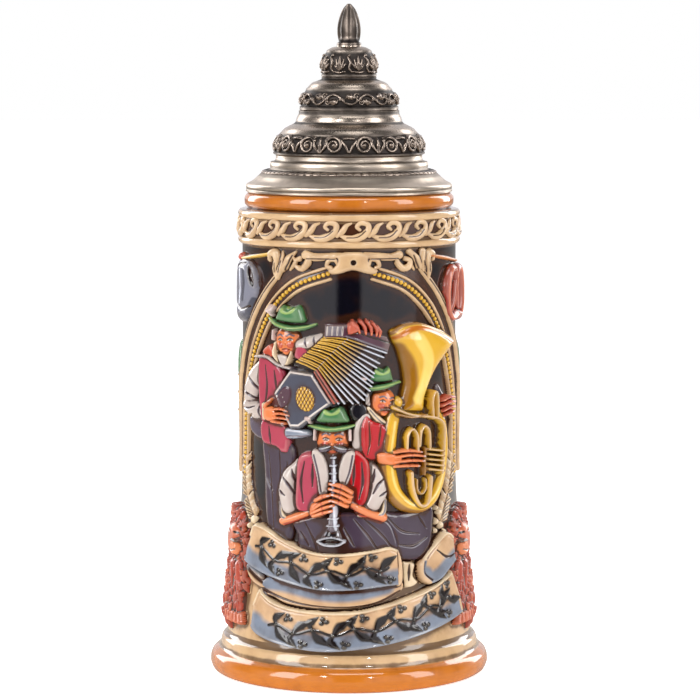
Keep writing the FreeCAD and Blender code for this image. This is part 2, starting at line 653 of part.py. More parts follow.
# name, direction it faces (degrees round from the front), level, what lies under it, outline
SPRIGS = [
    ("arch_frame", 0, "low", [], [
        (-66, 104), (-65, 128), (-61, 142), (-53.5, 159), (-45, 171), (-35, 181, 150, "right"),
        (-17, 189), (-8, 191.5), (8, 191.5), (17, 189, 150, "right"), (35, 181), (45, 171),
        (53.5, 159), (61, 142), (65, 128), (66, 104),
        (58, 104), (56, 128), (52.5, 140), (47.5, 150), (40, 162.5), (31, 172), (22, 178),
        (10, 181.5), (-10, 181.5), (-22, 178), (-31, 172), (-40, 162.5), (-47.5, 150),
        (-52.5, 140), (-56, 128), (-58, 104),
    ]),
    ("left_tower", -90, "low", [], [
        (-79, 104), (-79, 118), (-77, 136), (-75.4, 149), (-73.8, 136), (-72, 118), (-72, 104),
    ]),
    ("right_tower", 90, "low", [], [
        (72, 104), (72, 118), (73.8, 136), (75.4, 149), (77, 136), (79, 118), (79, 104),
    ]),
    ("hanging_mug", -65, "mid", ["arch_frame"], [
        (-62, 160), (-62, 187), (-58, 190), (-44, 190), (-43, 183), (-47, 176), (-48, 160),
    ]),
    ("pretzel", 68, "mid", ["arch_frame"], [
        (50, 166, 9, "left"), (50, 182, 9, "left"), (60, 183, 6, "left"), (68, 181, 9, "left"),
        (68, 166, 14, "left"),
    ]),
    ("left_lion", -80, "mid", ["left_swag"], [
        (-50, 25), (-47, 40), (-50, 56), (-54, 66), (-60, 74), (-74, 77), (-84, 70), (-86, 45),
        (-84, 25),
    ]),
    ("right_lion", 80, "mid", ["right_swag"], [
        (54, 25), (53, 45), (55, 58), (60, 70), (74, 77), (84, 70), (86, 45), (84, 25),
    ]),
    ("left_swag", -65, "low", ["left_tower"], [
        (-47, 67), (-44, 74), (-46, 84), (-48, 101), (-60, 101), (-64, 84), (-58, 72),
    ]),
    ("right_swag", 62, "low", ["right_tower"], [
        (37, 66), (40, 78), (46, 92), (52, 101), (64, 101), (62, 82), (54, 66), (46, 62),
    ]),
    ("left_player", -30, "mid", ["arch_frame"], [
        (-37.4, 163.3), (-31.6, 163.5), (-30.5, 169.2), (-20.5, 169.2), (-19.5, 162),
        (-14.5, 160), (-18, 152), (-10, 140), (-20, 100), (-22, 74), (-38, 74), (-40, 100),
        (-53, 110), (-57, 125), (-50, 138), (-44, 145), (-34, 150), (-34, 157),
    ]),
    ("right_player", 22, "mid", [], [
        (5, 132.7), (7.5, 134.5), (8.5, 142, 12, "right"), (17, 142), (18, 136.5), (22.3, 135.3),
        (21.5, 121), (26, 110), (40, 90), (38, 57), (16, 57), (13, 80), (6, 103), (2, 117),
    ]),
    ("middle_player", -6, "high", ["left_player", "right_player"], [
        (-18, 116.8), (-12.9, 119.8), (-11, 125, 12, "right"), (-3, 125), (-0.3, 119.8),
        (2.6, 117), (1, 112), (0.5, 105.5), (8.5, 103), (12.6, 97), (16.2, 84), (14, 75),
        (20, 66), (20, 58), (-23, 60), (-28.5, 72), (-30, 84), (-26, 98), (-21, 102.5),
        (-14, 105), (-15, 112),
    ]),
    ("lower_ribbon", 0, "high", ["left_lion", "right_lion", "middle_player"], [
        (-40.8, 27, 70, "left"), (-6.2, 19.5), (50, 30, 150, "left"),
        (51, 36), (46.5, 50), (10, 37.7, 90, "left"), (-25, 37), (-37.7, 44), (-40, 36),
    ]),
    ("ribbon_curl", 38, "high", ["right_lion", "right_swag", "right_player", "lower_ribbon"], [
        (30, 46, 9, "left"), (30, 58), (44, 67), (50, 64.6), (50.4, 52.7), (39.2, 46.2),
    ]),
    ("upper_ribbon", -12, "top",
     ["left_player", "right_player", "middle_player", "lower_ribbon", "left_lion",
      "left_swag"], [
        (-47.7, 54, 110, "left"), (-4.6, 41), (20.8, 46), (20.8, 57.7), (15.4, 63.8),
        (-6, 61.2), (-25.4, 65.4), (-42.3, 71.5), (-45, 65),
    ]),
    ("squeezebox", -10, "top", ["left_player", "middle_player", "right_player"], [
        (-32.9, 130), (-24.7, 141.4), (-22, 145), (-10.3, 155.5), (-10, 161.3), (-0.8, 161.3),
        (15.5, 156), (16.8, 152.5), (14.7, 145.4), (8, 141), (7, 128), (-5, 127), (-20, 115),
        (-24.7, 114),
    ]),
    ("big_horn", 32, "top",
     ["right_player", "middle_player", "arch_frame", "right_swag", "ribbon_curl"], [
        (17.7, 156, 22, "right"), (55, 150.5), (42.3, 141.3), (36, 131), (47.7, 122), (50, 110),
        (44, 89, 16, "right"), (30.3, 77, 16, "right"), (15, 88), (13.7, 98), (23.3, 135),
    ]),
    ("pipe", -6, "full", ["middle_player", "upper_ribbon", "squeezebox"], [
        (-7.6, 105), (-4, 105), (-4, 80), (-2.6, 66), (-11, 66), (-8.2, 80),
    ]),
    ("cartouche", 0, "high", ["arch_frame"], [
        (-20, 184), (-8, 182, 14, "left"), (8, 182), (20, 184), (32, 188), (20, 190.5),
        (9, 192.4), (-9, 192.4), (-20, 190.5), (-32, 188),
    ]),
]


def wall_outline(grow, top):
    """Corners of the mug's wall, grown by some amount, from the foot's ridge up to top."""
    return [
        ("0", WALL_FOOT),
        (f"{BASE_RADIUS} + {grow}", WALL_FOOT, f"{FLARE_BEND} - {grow}", "left"),
        (f"body_radius + {grow}", FLARE_TOP),
        (f"body_radius + {grow}", top),
        ("0", top),
    ]


def make_relief(blank):
    """Every sprig: its outline pushed out from the axis, held to its level, less what it covers."""
    levels = {
        level: turned_body(f"level_{level}", wall_outline(f"relief_{level}", BAND_FOOT))
        for level in ("low", "mid", "high", "top", "full")
    }
    made = {}
    order = sorted(SPRIGS, key=lambda sprig: list(levels).index(sprig[2]))
    for label, turn, level, under, outline in order:
        push = DOC.addObject("PartDesign::Body", label + "_push")
        sketch = sketch_on(push, "XZ_Plane", label + "_outline")
        draw(sketch, art_outline(outline, turn))
        pad = push.newObject("PartDesign::Pad", label + "_pad")
        pad.Profile = sketch
        pad.setExpression("Length", bound(f"{BASE_RADIUS} + 2 * relief_full"))
        push.Tip = pad
        push.Placement = Placement(Vector(), Rotation(Vector(0, 0, 1), turn))
        DOC.recompute()
        raised = DOC.addObject("Part::Common", label + "_raised")
        raised.Base = push
        raised.Tool = levels[level]
        shape = cut(raised, blank, label + "_on_wall")
        for below in under:
            if below in made:
                shape = cut(shape, made[below], f"{label}_on_{below}")
        DOC.recompute()
        made[label] = name_part(shape, label)


def art_outline(outline, turn):
    """The flat artwork's corners as sketch corners, seen from the direction of turn.

    An arc's radius is a share of its chord, so the arc still spans it when the mug's size changes.
    """
    panel_foot = f"({WALL_FOOT} + relief_margin)"
    panel_height = f"({BAND_FOOT} - relief_margin - {panel_foot})"
    flat, corners = [], []
    for corner in outline:
        across = math.sin(corner[0] / ART_RADIUS - math.radians(turn))
        share = (corner[1] - ART_FOOT) / (ART_TOP - ART_FOOT)
        flat.append((across * ART_RADIUS, corner[1]))
        corners.append((f"{across:.5f} * body_radius", f"{panel_foot} + {share:.5f} * {panel_height}"))
    for i, corner in enumerate(outline):
        if len(corner) == 2:
            continue
        j = (i + 1) % len(outline)
        (x, z), (next_x, next_z) = corners[i][:2], corners[j][:2]
        chord = f"sqrt(({next_x} - ({x}))^2 + ({next_z} - ({z}))^2)"
        ratio = corner[2] / math.dist(flat[i], flat[j])
        corners[i] = (x, z, f"{ratio:.5f} * {chord}", corner[3])
    return corners


def make_leaf_band(handle):
    """The ring of leaves on the ornament band, one leaf repeated round the mug.

    The leaves behind are trimmed to the handle.
    """
    body = DOC.addObject("PartDesign::Body", "leaf_body")
    body.AllowCompound = True
    foot = f"({BAND_FOOT} + ridge_height + leaf_margin)"
    top = f"({BAND_TOP} - ridge_height - leaf_margin)"
    middle, rise = f"({foot} + {top}) / 2", f"(({top} - {foot}) / 2)"
    half = "(leaf_length / 2)"
    bend = f"({half}^2 + {rise}^2) / (2 * {rise})"
    outline = draw(
        sketch_on(body, "XZ_Plane", "leaf_outline"),
        [(f"-{half}", middle, bend, "right"), (half, middle, bend, "right")],
    )
    pad = body.newObject("PartDesign::Pad", "leaf_pad")
    pad.Profile = outline
    pad.setExpression("Length", bound(f"2 * {BAND_RADIUS}"))
    DOC.recompute()
    ring = body.newObject("PartDesign::PolarPattern", "leaf_ring")
    ring.Originals = [pad]
    ring.Axis = (next(f for f in body.Origin.OriginFeatures if f.Role == "Z_Axis"), [""])
    ring.Angle = 360
    ring.setExpression("Occurrences", bound("leaf_count"))
    body.Tip = ring
    DOC.recompute()
    outer = turned_body("leaf_outer", band_outline("leaf_rise"))
    inner = turned_body("leaf_inner", band_outline("0"))
    raised = DOC.addObject("Part::Common", "leaf_raised")
    raised.Base = body
    raised.Tool = outer
    ring = cut(raised, inner, "leaf_cut")
    name_part(cut(ring, handle, "leaf_trim"), "leaf_band")


def band_outline(grow):
    """Corners of a disc of the ornament band's ground, grown by some amount."""
    return [
        ("0", BAND_FOOT),
        (f"{BAND_RADIUS} + {grow}", BAND_FOOT),
        (f"{BAND_RADIUS} + {grow}", BAND_TOP),
        ("0", BAND_TOP),
    ]


def main():
    blank = make_mug()
    handle = make_handle(blank)
    flange = make_lid()
    make_hinge(blank, flange)
    make_relief(blank)
    make_leaf_band(handle)
    DOC.recompute()
    failed = [o.Name for o in DOC.Objects if {"Invalid", "Error"} & set(o.State)]
    if failed:
        raise SystemExit(f"these objects failed: {failed}")
    os.makedirs("parts", exist_ok=True)
    for thing in PARTS:
        shape = thing.Shape
        if shape.isNull() or not shape.isValid() or not shape.Solids:
            raise SystemExit(f"{thing.Label} has no valid solid")
    for thing in PARTS:
        thing.Shape.exportStep(f"parts/{thing.Label}.step")
        box = thing.Shape.BoundBox
        print(
            f"{thing.Label}: {len(thing.Shape.Solids)} solid(s), {thing.Shape.Volume:.0f} mm3, "
            f"z {box.ZMin:.1f} to {box.ZMax:.1f}"
        )


main()
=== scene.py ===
# %% [markdown]
# # A lidded beer stein
# A stein is two crafts in one object. The mug is stoneware: it is turned, its relief is pressed in
# small moulds and luted on while the clay is soft, and it is painted and glazed. The lid is pewter,
# cast and turned in tiers and joined by a pin to a collar on the handle. This lesson makes the clay
# as a potter does, by building up heights on flat sheets that are then wrapped round the wall, and
# the pewter as a turner does, from profiles spun about the axis.

# %% Load the CAD frame that everything has to fit
import math

import bmesh
import bpy
import numpy as np
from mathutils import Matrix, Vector


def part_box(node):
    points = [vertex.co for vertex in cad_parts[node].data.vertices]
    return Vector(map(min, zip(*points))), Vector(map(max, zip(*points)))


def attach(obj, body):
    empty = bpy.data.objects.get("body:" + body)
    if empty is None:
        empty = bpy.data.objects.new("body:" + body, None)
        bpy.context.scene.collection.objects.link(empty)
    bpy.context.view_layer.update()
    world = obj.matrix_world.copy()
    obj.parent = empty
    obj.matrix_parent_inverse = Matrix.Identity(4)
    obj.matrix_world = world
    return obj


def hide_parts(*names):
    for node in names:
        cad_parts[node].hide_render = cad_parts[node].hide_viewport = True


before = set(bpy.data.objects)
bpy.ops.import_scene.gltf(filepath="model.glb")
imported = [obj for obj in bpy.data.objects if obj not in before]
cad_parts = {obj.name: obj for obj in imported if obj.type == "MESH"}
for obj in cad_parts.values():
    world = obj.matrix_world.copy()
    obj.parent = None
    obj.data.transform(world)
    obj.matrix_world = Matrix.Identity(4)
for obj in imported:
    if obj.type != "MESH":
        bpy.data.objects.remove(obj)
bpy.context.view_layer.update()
MM = 0.001

# %% [markdown]
# ## Paints
# The painter has a small set of colours. Each is named for what it is on the stein, and given as
# it looks on the finished ware. A few are painted highlights, and several plain colours also serve
# in places as painted highlights and painted shade. Blender's shaders want linear light, so the
# display value of each channel is raised to about 2.2.

# %% Paint box
# Painted highlights: the pale strokes for the pipe, bellows, hanging mug, hats and horn. The brown wash paint
# is a stain that also stands for painted shade.
PAINTS = {
    "navy": "07060f", "cream": "c7a57b", "pale": "d6bf9c", "honey": "bb6c20", "umber": "45281a",
    "gold": "d0a028", "old_gold": "8e5e12", "leaf": "2f6b3b", "hat_highlight": "80a04c", "crimson": "a23348",
    "scarlet": "a8131c", "skin": "d4733c", "ruddy": "b2432a", "linen": "b9aca4", "shadow": "57505c",
    "trouser": "3f323f", "slate": "4a3f50", "silver": "a9aab2", "black": "141218", "tuft": "c9b2ac",
    "ribbon": "c4a079", "sky": "747d8c", "beast": "a33a24", "ember": "bd5a36", "steeple": "7d8672",
    "stoneware": "71727f", "crust": "96301f", "rosewood": "4a2c38", "ink": "17100f", "stain_and_shade": "3a1d0c",
    "painted_highlight": "cfd3de", "pale_gold": "e2c160", "dusk": "3d3f4d",
}


def colour(name):
    """A paint as linear red, green and blue."""
    channels = [int(PAINTS[name][i:i + 2], 16) / 255 for i in (0, 2, 4)]
    return np.array([c / 12.92 if c < 0.04045 else ((c + 0.055) / 1.055) ** 2.4 for c in channels])


print(len(PAINTS), "paints")

# %% [markdown]
# ## Clay on a sheet
# Relief like this is a height over a surface: no part of it hangs over another. So it is modelled on
# a flat sheet, as an array of heights with a colour at each point. `pad` presses a rounded form
# with a drawn outline, `roll` lays a roll of clay along a line, and `lift` and `crease` raise or
# scratch what is already there. Each works in millimetres across and up the sheet. Meshes of
# separate primitives would need hundreds of joins, and a height array needs none.

# %% Curves through given points
STEP = 0.25  # spacing of the sheet's points, fine enough for a thread of hair
BLOCK = 4  # a sheet's points between two points of its coarse lining
BURIED = -0.75  # how far the sheet's margin lies under the surface it is luted to
MARGIN = BURIED + 0.05  # what lies below this is bare margin


def smooth(points, closed=False, parts=5):
    """A smooth curve through the points, or through each list of points, with corners between."""
    points = np.asarray(points, float)
    if len(points) < 3:
        return points
    if closed:
        padded = np.vstack([points[-1], points, points[:2]])
    else:
        padded = np.vstack([2 * points[0] - points[1], points, 2 * points[-1] - points[-2]])
    t = np.linspace(0, 1, parts, endpoint=False)[:, None]
    runs = []
    for a, b, c, d in zip(padded, padded[1:], padded[2:], padded[3:]):
        runs.append(0.5 * (2 * b + (c - a) * t + (2 * a - 5 * b + 4 * c - d) * t**2
                           + (3 * b - 3 * c + d - a) * t**3))
    if not closed:
        runs.append(points[-1:])
    return np.vstack(runs)


def along(path, u, z):
    """Distance of each sheet point from a path, and how far along the path it is, from 0 to 1."""
    steps = np.linalg.norm(np.diff(path, axis=0), axis=1)
    total, done = max(steps.sum(), 1e-9), 0.0
    best = np.full(u.shape, 1e9)
    place = np.zeros(u.shape)
    for (x0, y0), (x1, y1), length in zip(path, path[1:], steps):
        if length < 1e-9:
            continue
        t = ((u - x0) * (x1 - x0) + (z - y0) * (y1 - y0)) / length**2
        t = np.clip(t, 0, 1)
        far = np.hypot(u - x0 - t * (x1 - x0), z - y0 - t * (y1 - y0))
        near = far < best
        best[near] = far[near]
        place[near] = ((done + t * length) / total)[near]
        done += length
    return best, place


def inside(path, u, z):
    """True for the sheet points within a closed path."""
    odd = np.zeros(u.shape, bool)
    for (x0, y0), (x1, y1) in zip(path, np.roll(path, -1, axis=0)):
        if y0 == y1:
            continue
        crosses = ((y0 > z) != (y1 > z)) & (u < (x1 - x0) * (z - y0) / (y1 - y0) + x0)
        odd ^= crosses
    return odd


# %% The sheet and its four tools
class Sheet:
    """Heights and paint over a rectangle of the unrolled wall, in millimetres."""

    made = {}

    def __init__(self, name, low, high, step=STEP):
        block = BLOCK * step
        self.low = [math.floor(v / block) * block for v in low]
        counts = [int(math.ceil((b - a) / block)) * BLOCK + 1 for a, b in zip(self.low, high)]
        across = self.low[0] + step * np.arange(counts[0])
        up = self.low[1] + step * np.arange(counts[1])
        self.name, self.step = name, step
        self.u, self.z = np.meshgrid(across, up)
        self.h = np.full(self.u.shape, BURIED)
        self.paint = np.ones(self.u.shape + (3,)) * colour("cream")
        Sheet.made[name] = self

    def window(self, path, margin):
        """The part of the sheet near a path."""
        (u0, z0), (u1, z1) = path.min(axis=0) - margin, path.max(axis=0) + margin
        cols = np.clip(np.round((np.array([u0, u1]) - self.low[0]) / self.step), 0, self.u.shape[1])
        rows = np.clip(np.round((np.array([z0, z1]) - self.low[1]) / self.step), 0, self.u.shape[0])
        return slice(int(rows[0]), int(rows[1]) + 1), slice(int(cols[0]), int(cols[1]) + 1)

    def tint(self, spot, cover, paint):
        """Lays paint over part of the sheet, as strongly as cover says."""
        if paint is None:
            return
        cover = np.clip(cover, 0, 1)[..., None]
        self.paint[spot] = self.paint[spot] * (1 - cover) + colour(paint) * cover

    def raise_to(self, spot, level, paint):
        """Puts clay up to level, and paints it where it is the highest."""
        above = level > self.h[spot]
        self.tint(spot, above & (level > BURIED + 0.02), paint)
        self.h[spot] = np.maximum(self.h[spot], level)

    def pad(self, points, height, round_=1.5, paint=None, curve=True, base=0.0):
        """A rounded form with a closed outline. round_ is how far in it reaches its full height."""
        path = smooth(points, closed=True) if curve else np.asarray(points, float)
        spot = self.window(path, 1)
        u, z = self.u[spot], self.z[spot]
        far, _ = along(np.vstack([path, path[:1]]), u, z)
        t = np.clip(far / round_, 0, 1)
        within = inside(path, u, z)
        level = np.where(within, base + (height - base) * np.sqrt(1 - (1 - t)**2), base - 4 * far)
        self.raise_to(spot, np.maximum(level, BURIED), paint)
        return self

    def roll(self, points, widths, height, paint=None, base=0.0, curve=True):
        """A round roll along a line. widths are its half widths, from the start to the end."""
        path = smooth(points) if curve else np.asarray(points, float)
        widths = np.atleast_1d(widths).astype(float)
        spot = self.window(path, widths.max() + 1)
        far, place = along(path, self.u[spot], self.z[spot])
        half = np.interp(place, np.linspace(0, 1, len(widths)), widths)
        share = far / half
        dome = np.sqrt(np.clip(1 - share**2, 0, 1)) * half / widths.max()
        level = np.where(share < 1, base + (height - base) * dome, base - 4 * (far - half))
        self.raise_to(spot, np.maximum(level, BURIED), paint)
        return self

    def lift(self, points, amount, round_=1.0, paint=None, curve=True):
        """Raises, or with a negative amount sinks, what lies within an outline."""
        path = smooth(points, closed=True) if curve else np.asarray(points, float)
        spot = self.window(path, 1)
        u, z = self.u[spot], self.z[spot]
        far, _ = along(np.vstack([path, path[:1]]), u, z)
        far = np.where(inside(path, u, z), far, 0)
        t = np.clip(far / round_, 0, 1)
        self.h[spot] += np.where(self.h[spot] > MARGIN, amount * t * t * (3 - 2 * t), 0)
        self.tint(spot, far / (2 * self.step) + (far > 0) * 0.5, paint)
        return self

    def crease(self, points, half, depth, paint=None, curve=True, widths=None):
        """A scratch along a line, or with a negative depth a welt. It can carry paint."""
        path = smooth(points) if curve else np.asarray(points, float)
        spot = self.window(path, half + 0.5)
        far, place = along(path, self.u[spot], self.z[spot])
        if widths is not None:
            half = half * np.interp(place, np.linspace(0, 1, len(widths)), widths) + 1e-3
        t = np.clip(1 - (far / half) ** 2, 0, 1)
        self.h[spot] -= np.where(self.h[spot] > MARGIN, depth * t * t, 0)
        self.tint(spot, t * 1.6, paint)
        return self

    def dot(self, u, z, radius, height, paint=None, base=0.0):
        """A round button of clay."""
        return self.roll([(u, z), (u + 0.01, z)], radius, height, paint, base, curve=False)


print("sheet tools ready, points every", STEP, "mm")

# %% [markdown]
# ## Things that several figures share
# A modeller keeps small moulds for what repeats: hats, heads, hands and ears of barley. Here each is
# a function that presses its shape at a given place. The faces are one calm, plain face, turned
# and scaled for each player. The three men differ in hat, hair and dress.

# %% Heads, hats and hands
def shifted(points, u, z, across=1.0, up=1.0, tilt=0.0):
    """Points of a small drawing, scaled, tilted by some degrees and moved to (u, z)."""
    c, s = math.cos(math.radians(tilt)), math.sin(math.radians(tilt))
    p = np.asarray(points, float) * (across, up)
    return p @ np.array([[c, s], [-s, c]]) + (u, z)


ROUND = [(math.cos(a), math.sin(a)) for a in np.linspace(0, 2 * math.pi, 12, endpoint=False)]


def oval(u, z, across, up, tilt=0.0):
    """An ellipse's outline."""
    return shifted(ROUND, u, z, across, up, tilt)


def face(sheet, u, z, w, h, base, turn=0.0, tilt=0.0, skin="skin"):
    """A calm, plain face w and h in half width and half height, turned to one side by -1 to 1."""
    def at(points, shift=0.35):
        return shifted(points, u, z, w, h, tilt) + (turn * w * shift, 0)

    sheet.pad(at(ROUND, 0), base + 2.0, w * 0.95, skin)
    sheet.pad(at([(-0.6, -0.2), (0.6, -0.2), (0.45, -0.8), (0, -1.0), (-0.45, -0.8)], 0.2),
              base + 1.9, w * 0.6, skin)
    sheet.roll(at([(-0.66, 0.16), (-0.34, 0.3), (0, 0.22), (0.34, 0.3), (0.66, 0.16)]),
               [0.35, 0.6, 0.5, 0.6, 0.35], base + 2.15, skin)
    for side in (-1, 1):
        sheet.lift(at(np.array(ROUND) * (0.2, 0.13) + (side * 0.36, 0.06)), -0.3, 0.5, skin)
        sheet.lift(at(np.array(ROUND) * (0.26, 0.2) + (side * 0.4, -0.26)), 0.35, 0.9, "ruddy")
        sheet.crease(at([(side * 0.5, 0.05), (side * 0.36, 0.1), (side * 0.22, 0.04)]), 0.35, -0.1,
                     "linen")
        sheet.crease(at([(side * 0.37, 0.1), (side * 0.37, 0.03)]), 0.28, -0.1, "black")
        sheet.crease(at([(side * 0.54, 0.09), (side * 0.36, 0.17), (side * 0.18, 0.09)]), 0.3, 0.15,
                     "umber")
        sheet.crease(at([(side * 0.6, 0.3), (side * 0.36, 0.4), (side * 0.14, 0.31)]), 0.45, -0.2,
                     "shadow")
    sheet.roll(at([(0, 0.26), (0, 0.0), (0, -0.2)]), [0.45, 0.6, 0.95], base + 3.1, skin)
    sheet.dot(*at([(-0.13, -0.24)])[0], 0.5, base + 2.5, skin)
    sheet.dot(*at([(0.13, -0.24)])[0], 0.5, base + 2.5, skin)
    sheet.crease(at([(-0.26, -0.52), (0, -0.48), (0.26, -0.52)]), 0.4, 0.3, "crust")
    sheet.crease(at([(-0.18, -0.6), (0, -0.63), (0.18, -0.6)]), 0.45, -0.25, "ruddy")
    sheet.lift(at([(-0.22, -0.72), (0.22, -0.72), (0.16, -0.92), (-0.16, -0.92)], 0.2), 0.3, 0.8)


def hat(sheet, crown, brim, base, tuft, rise=2.0):
    """A felt hat: a pinched crown with a painted highlight, a cord above a curled brim with a painted highlight
    along its top, and a tuft of feathers.
    """
    sheet.pad(crown, base + rise, 2.6, "leaf")
    middle = np.mean(crown, axis=0)
    top = max(p[1] for p in crown)
    # painted highlight: a lighter green patch on the upper crown
    sheet.lift(oval(middle[0], middle[1] + 1.2, 3.4, 1.9, 8), 0.5, 1.6, "hat_highlight")
    sheet.crease([(middle[0] - 2.6, top - 0.6), (middle[0], top - 2.4), (middle[0] + 2.4, top - 0.4)],
                 0.8, 0.7, "leaf")
    sheet.roll(brim, [0.7, 1.5, 1.7, 1.5, 0.7], base + rise + 0.5, "leaf")
    # painted highlight: a lighter green line along the top of the brim
    lifted = np.array(brim) + (0, 0.35)
    sheet.crease(lifted, 0.35, -0.1, "hat_highlight")
    band = np.array(brim[1:-1]) + (0, 1.9)
    sheet.crease(band, 0.5, 0.3, "umber")
    for lean in (-0.9, -0.3, 0.4):
        u, z = tuft
        sheet.roll([(u - lean * 0.6, z - 2.2), (u + lean, z), (u + 2 * lean, z + 2.1)],
                   [0.7, 1.15, 0.5], base + rise + 0.7, "tuft")


def hand(sheet, fingers, half, height, paint="skin", nails="tuft"):
    """Fingers as rolls laid side by side, each with a crease at its joint and a pale nail."""
    for finger in fingers:
        finger = np.asarray(finger, float)
        sheet.roll(finger, [half, half * 1.05, half * 0.85], height, paint)
        tip, before = finger[-1], finger[-2]
        toward = (before - tip) / max(np.linalg.norm(before - tip), 1e-6)
        sheet.crease([tip + toward * 0.3, tip + toward * 0.9], 0.32, -0.05, nails)
        if len(finger) > 2:
            middle, across = finger[len(finger) // 2], np.array([-toward[1], toward[0]])
            sheet.crease([middle - across * half * 0.7, middle + across * half * 0.7], 0.3, 0.2,
                         "ruddy")


def folds(sheet, lines, depth=0.45, half=0.7, paint="shadow"):
    """Creases in cloth, each painted darker in its hollow as painted shade."""
    for line in lines:
        sheet.crease(line, half, depth, paint, widths=[0.35, 1, 0.35])


print("shared moulds: face, hat, hand, folds")

# %% [markdown]
# ## The arch
# The scene stands in an arch: an outer moulding, a brown hollow and a strip edged in cream that
# carries a row of beads. The beads are added later as separate balls along the same line.

# %% Arch mouldings
def mirrored(points, axis=0.0):
    """Points of the left half again on the right, about a line at u = axis."""
    return [(2 * axis - u, z) for u, z in reversed(points)]


OUTER_LEFT = [(-65.5, 92), (-65.5, 128), (-61.5, 140), (-57, 150), (-50, 161), (-41, 173),
              (-33, 181.5), (-27, 187.5)]
BEAD_LEFT = [(-57.8, 92), (-57.5, 118), (-54.8, 130), (-51, 142), (-46, 152), (-39, 163.2),
             (-31, 172), (-22, 178.4), (-9, 183)]
bead_paths = [BEAD_LEFT, mirrored(BEAD_LEFT, 1.0)]

arch = Sheet("arch_frame", (-68, 91), (70, 193))
for left, right in ((OUTER_LEFT, BEAD_LEFT), (mirrored(OUTER_LEFT, 1.5), mirrored(BEAD_LEFT, 1.0))):
    ring = np.vstack([smooth(left), smooth(right)[::-1]])
    arch.pad(ring, 0.7, 0.5, "umber", curve=False)
for path in (OUTER_LEFT, mirrored(OUTER_LEFT, 1.5)):
    arch.roll(path, [1.7, 1.8, 1.9, 2.0, 2.0, 2.0, 1.8, 1.6] if path is OUTER_LEFT else
              [1.6, 1.8, 2.0, 2.0, 2.0, 1.9, 1.8, 1.7], 2.7, "cream")
    arch.crease(path, 0.45, 0.35, "stain_and_shade")


def beside(path, offset):
    """A path moved sideways by a distance."""
    path = smooth(path)
    ahead = np.gradient(path, axis=0)
    ahead /= np.linalg.norm(ahead, axis=1)[:, None]
    return path + np.column_stack([-ahead[:, 1], ahead[:, 0]]) * offset


for path in bead_paths:
    arch.roll(path, 2.3, 1.1, "umber")
    for shape in (beside(path, 2.6), beside(path, -2.6)):
        arch.roll(shape, 0.8, 1.9, "cream", curve=False)
print("arch drawn on", arch.u.shape, "points")

# %% [markdown]
# ## The cartouche
# A plain shield closes the arch, with scrolls and curling leaves that unroll to both sides. One side
# is drawn as lines, and `both` gives the mirror image too.

# %% Cartouche with its scrolls and leaves
def both(points, axis=1.7):
    """A line and its mirror image about the cartouche's own middle."""
    return [points, mirrored(points, axis)]


top = Sheet("cartouche", (-42, 178), (46, 194))
top.pad([(1.7, 184.4), (-3.5, 183), (-7.6, 182.6), (-9, 184.6), (-6, 186.4), (-5, 189),
         (-6, 191), (-2, 192.4), (5.4, 192.4), (9.4, 191), (8.4, 189), (9.4, 186.4), (12.4, 184.6),
         (11, 182.6), (6.9, 183)], 3.2, 1.4, "cream")
for line in both([(-3.5, 190.4), (-9, 190.3), (-15, 190), (-19, 190.8)]):
    top.roll(line, [2.0, 1.8, 1.9, 2.2], 2.8, "cream")
for line in both([(-14, 190.4), (-17, 189.6), (-18.2, 187.2), (-20.4, 185), (-23.2, 185.8),
                  (-23.6, 188.2), (-21.6, 189.2)]):
    top.roll(line, [1.2, 1.7, 1.8, 1.7, 1.4, 1.1, 1.4], 3.2, "cream")
for line in both([(-4.6, 186.8), (-5.8, 189), (-8.4, 188.8), (-9.4, 186.4), (-7.8, 185.4)]):
    top.roll(line, [1.1, 1.3, 1.3, 1.2, 1.4], 3.1, "cream")
for line in both([(-31.4, 183.2), (-28.4, 186.2), (-26.8, 189), (-24, 192)]):
    top.roll(line, [1.6, 2.2, 2.1, 0.7], 3.4, "cream")
for line in both([(-33, 181), (-30.6, 185.4), (-30.2, 188.6), (-30.8, 192)]):
    top.roll(line, [1.8, 2.1, 1.8, 0.6], 3.2, "cream")
for line in both([(-26.4, 184.2), (-23.6, 187.6), (-25.6, 190.2)]):
    top.roll(line, [0.8, 1.5, 0.7], 2.8, "cream")
for line in both([(-33.8, 180), (-34, 184.4), (-32.8, 188), (-34.2, 191), (-37, 190.8), (-37.6, 188.4)]):
    top.roll(line, [1.2, 1.8, 2.2, 2.3, 2.0, 1.5], 3.5, "cream")
for line in both([(-28.4, 184), (-26.6, 187), (-25, 190.6)]) + both([(-31.6, 183), (-30.4, 188)]) \
        + both([(-34, 183), (-33.4, 187)]) + both([(-18, 189.4), (-12, 189.4), (-6, 189.4)]):
    top.crease(line, 0.35, 0.5, "stain_and_shade")
top.lift(oval(1.8, 187.9, 1.3, 1.3), -1.6, 0.7, "black")
print("cartouche drawn")

# %% [markdown]
# ## Towers, beasts, swags and hanging things
# The flanks carry scenery that the front view only catches at its edges. Each piece is pressed
# in the same way, from a few large pads and many small rolls laid by loops.

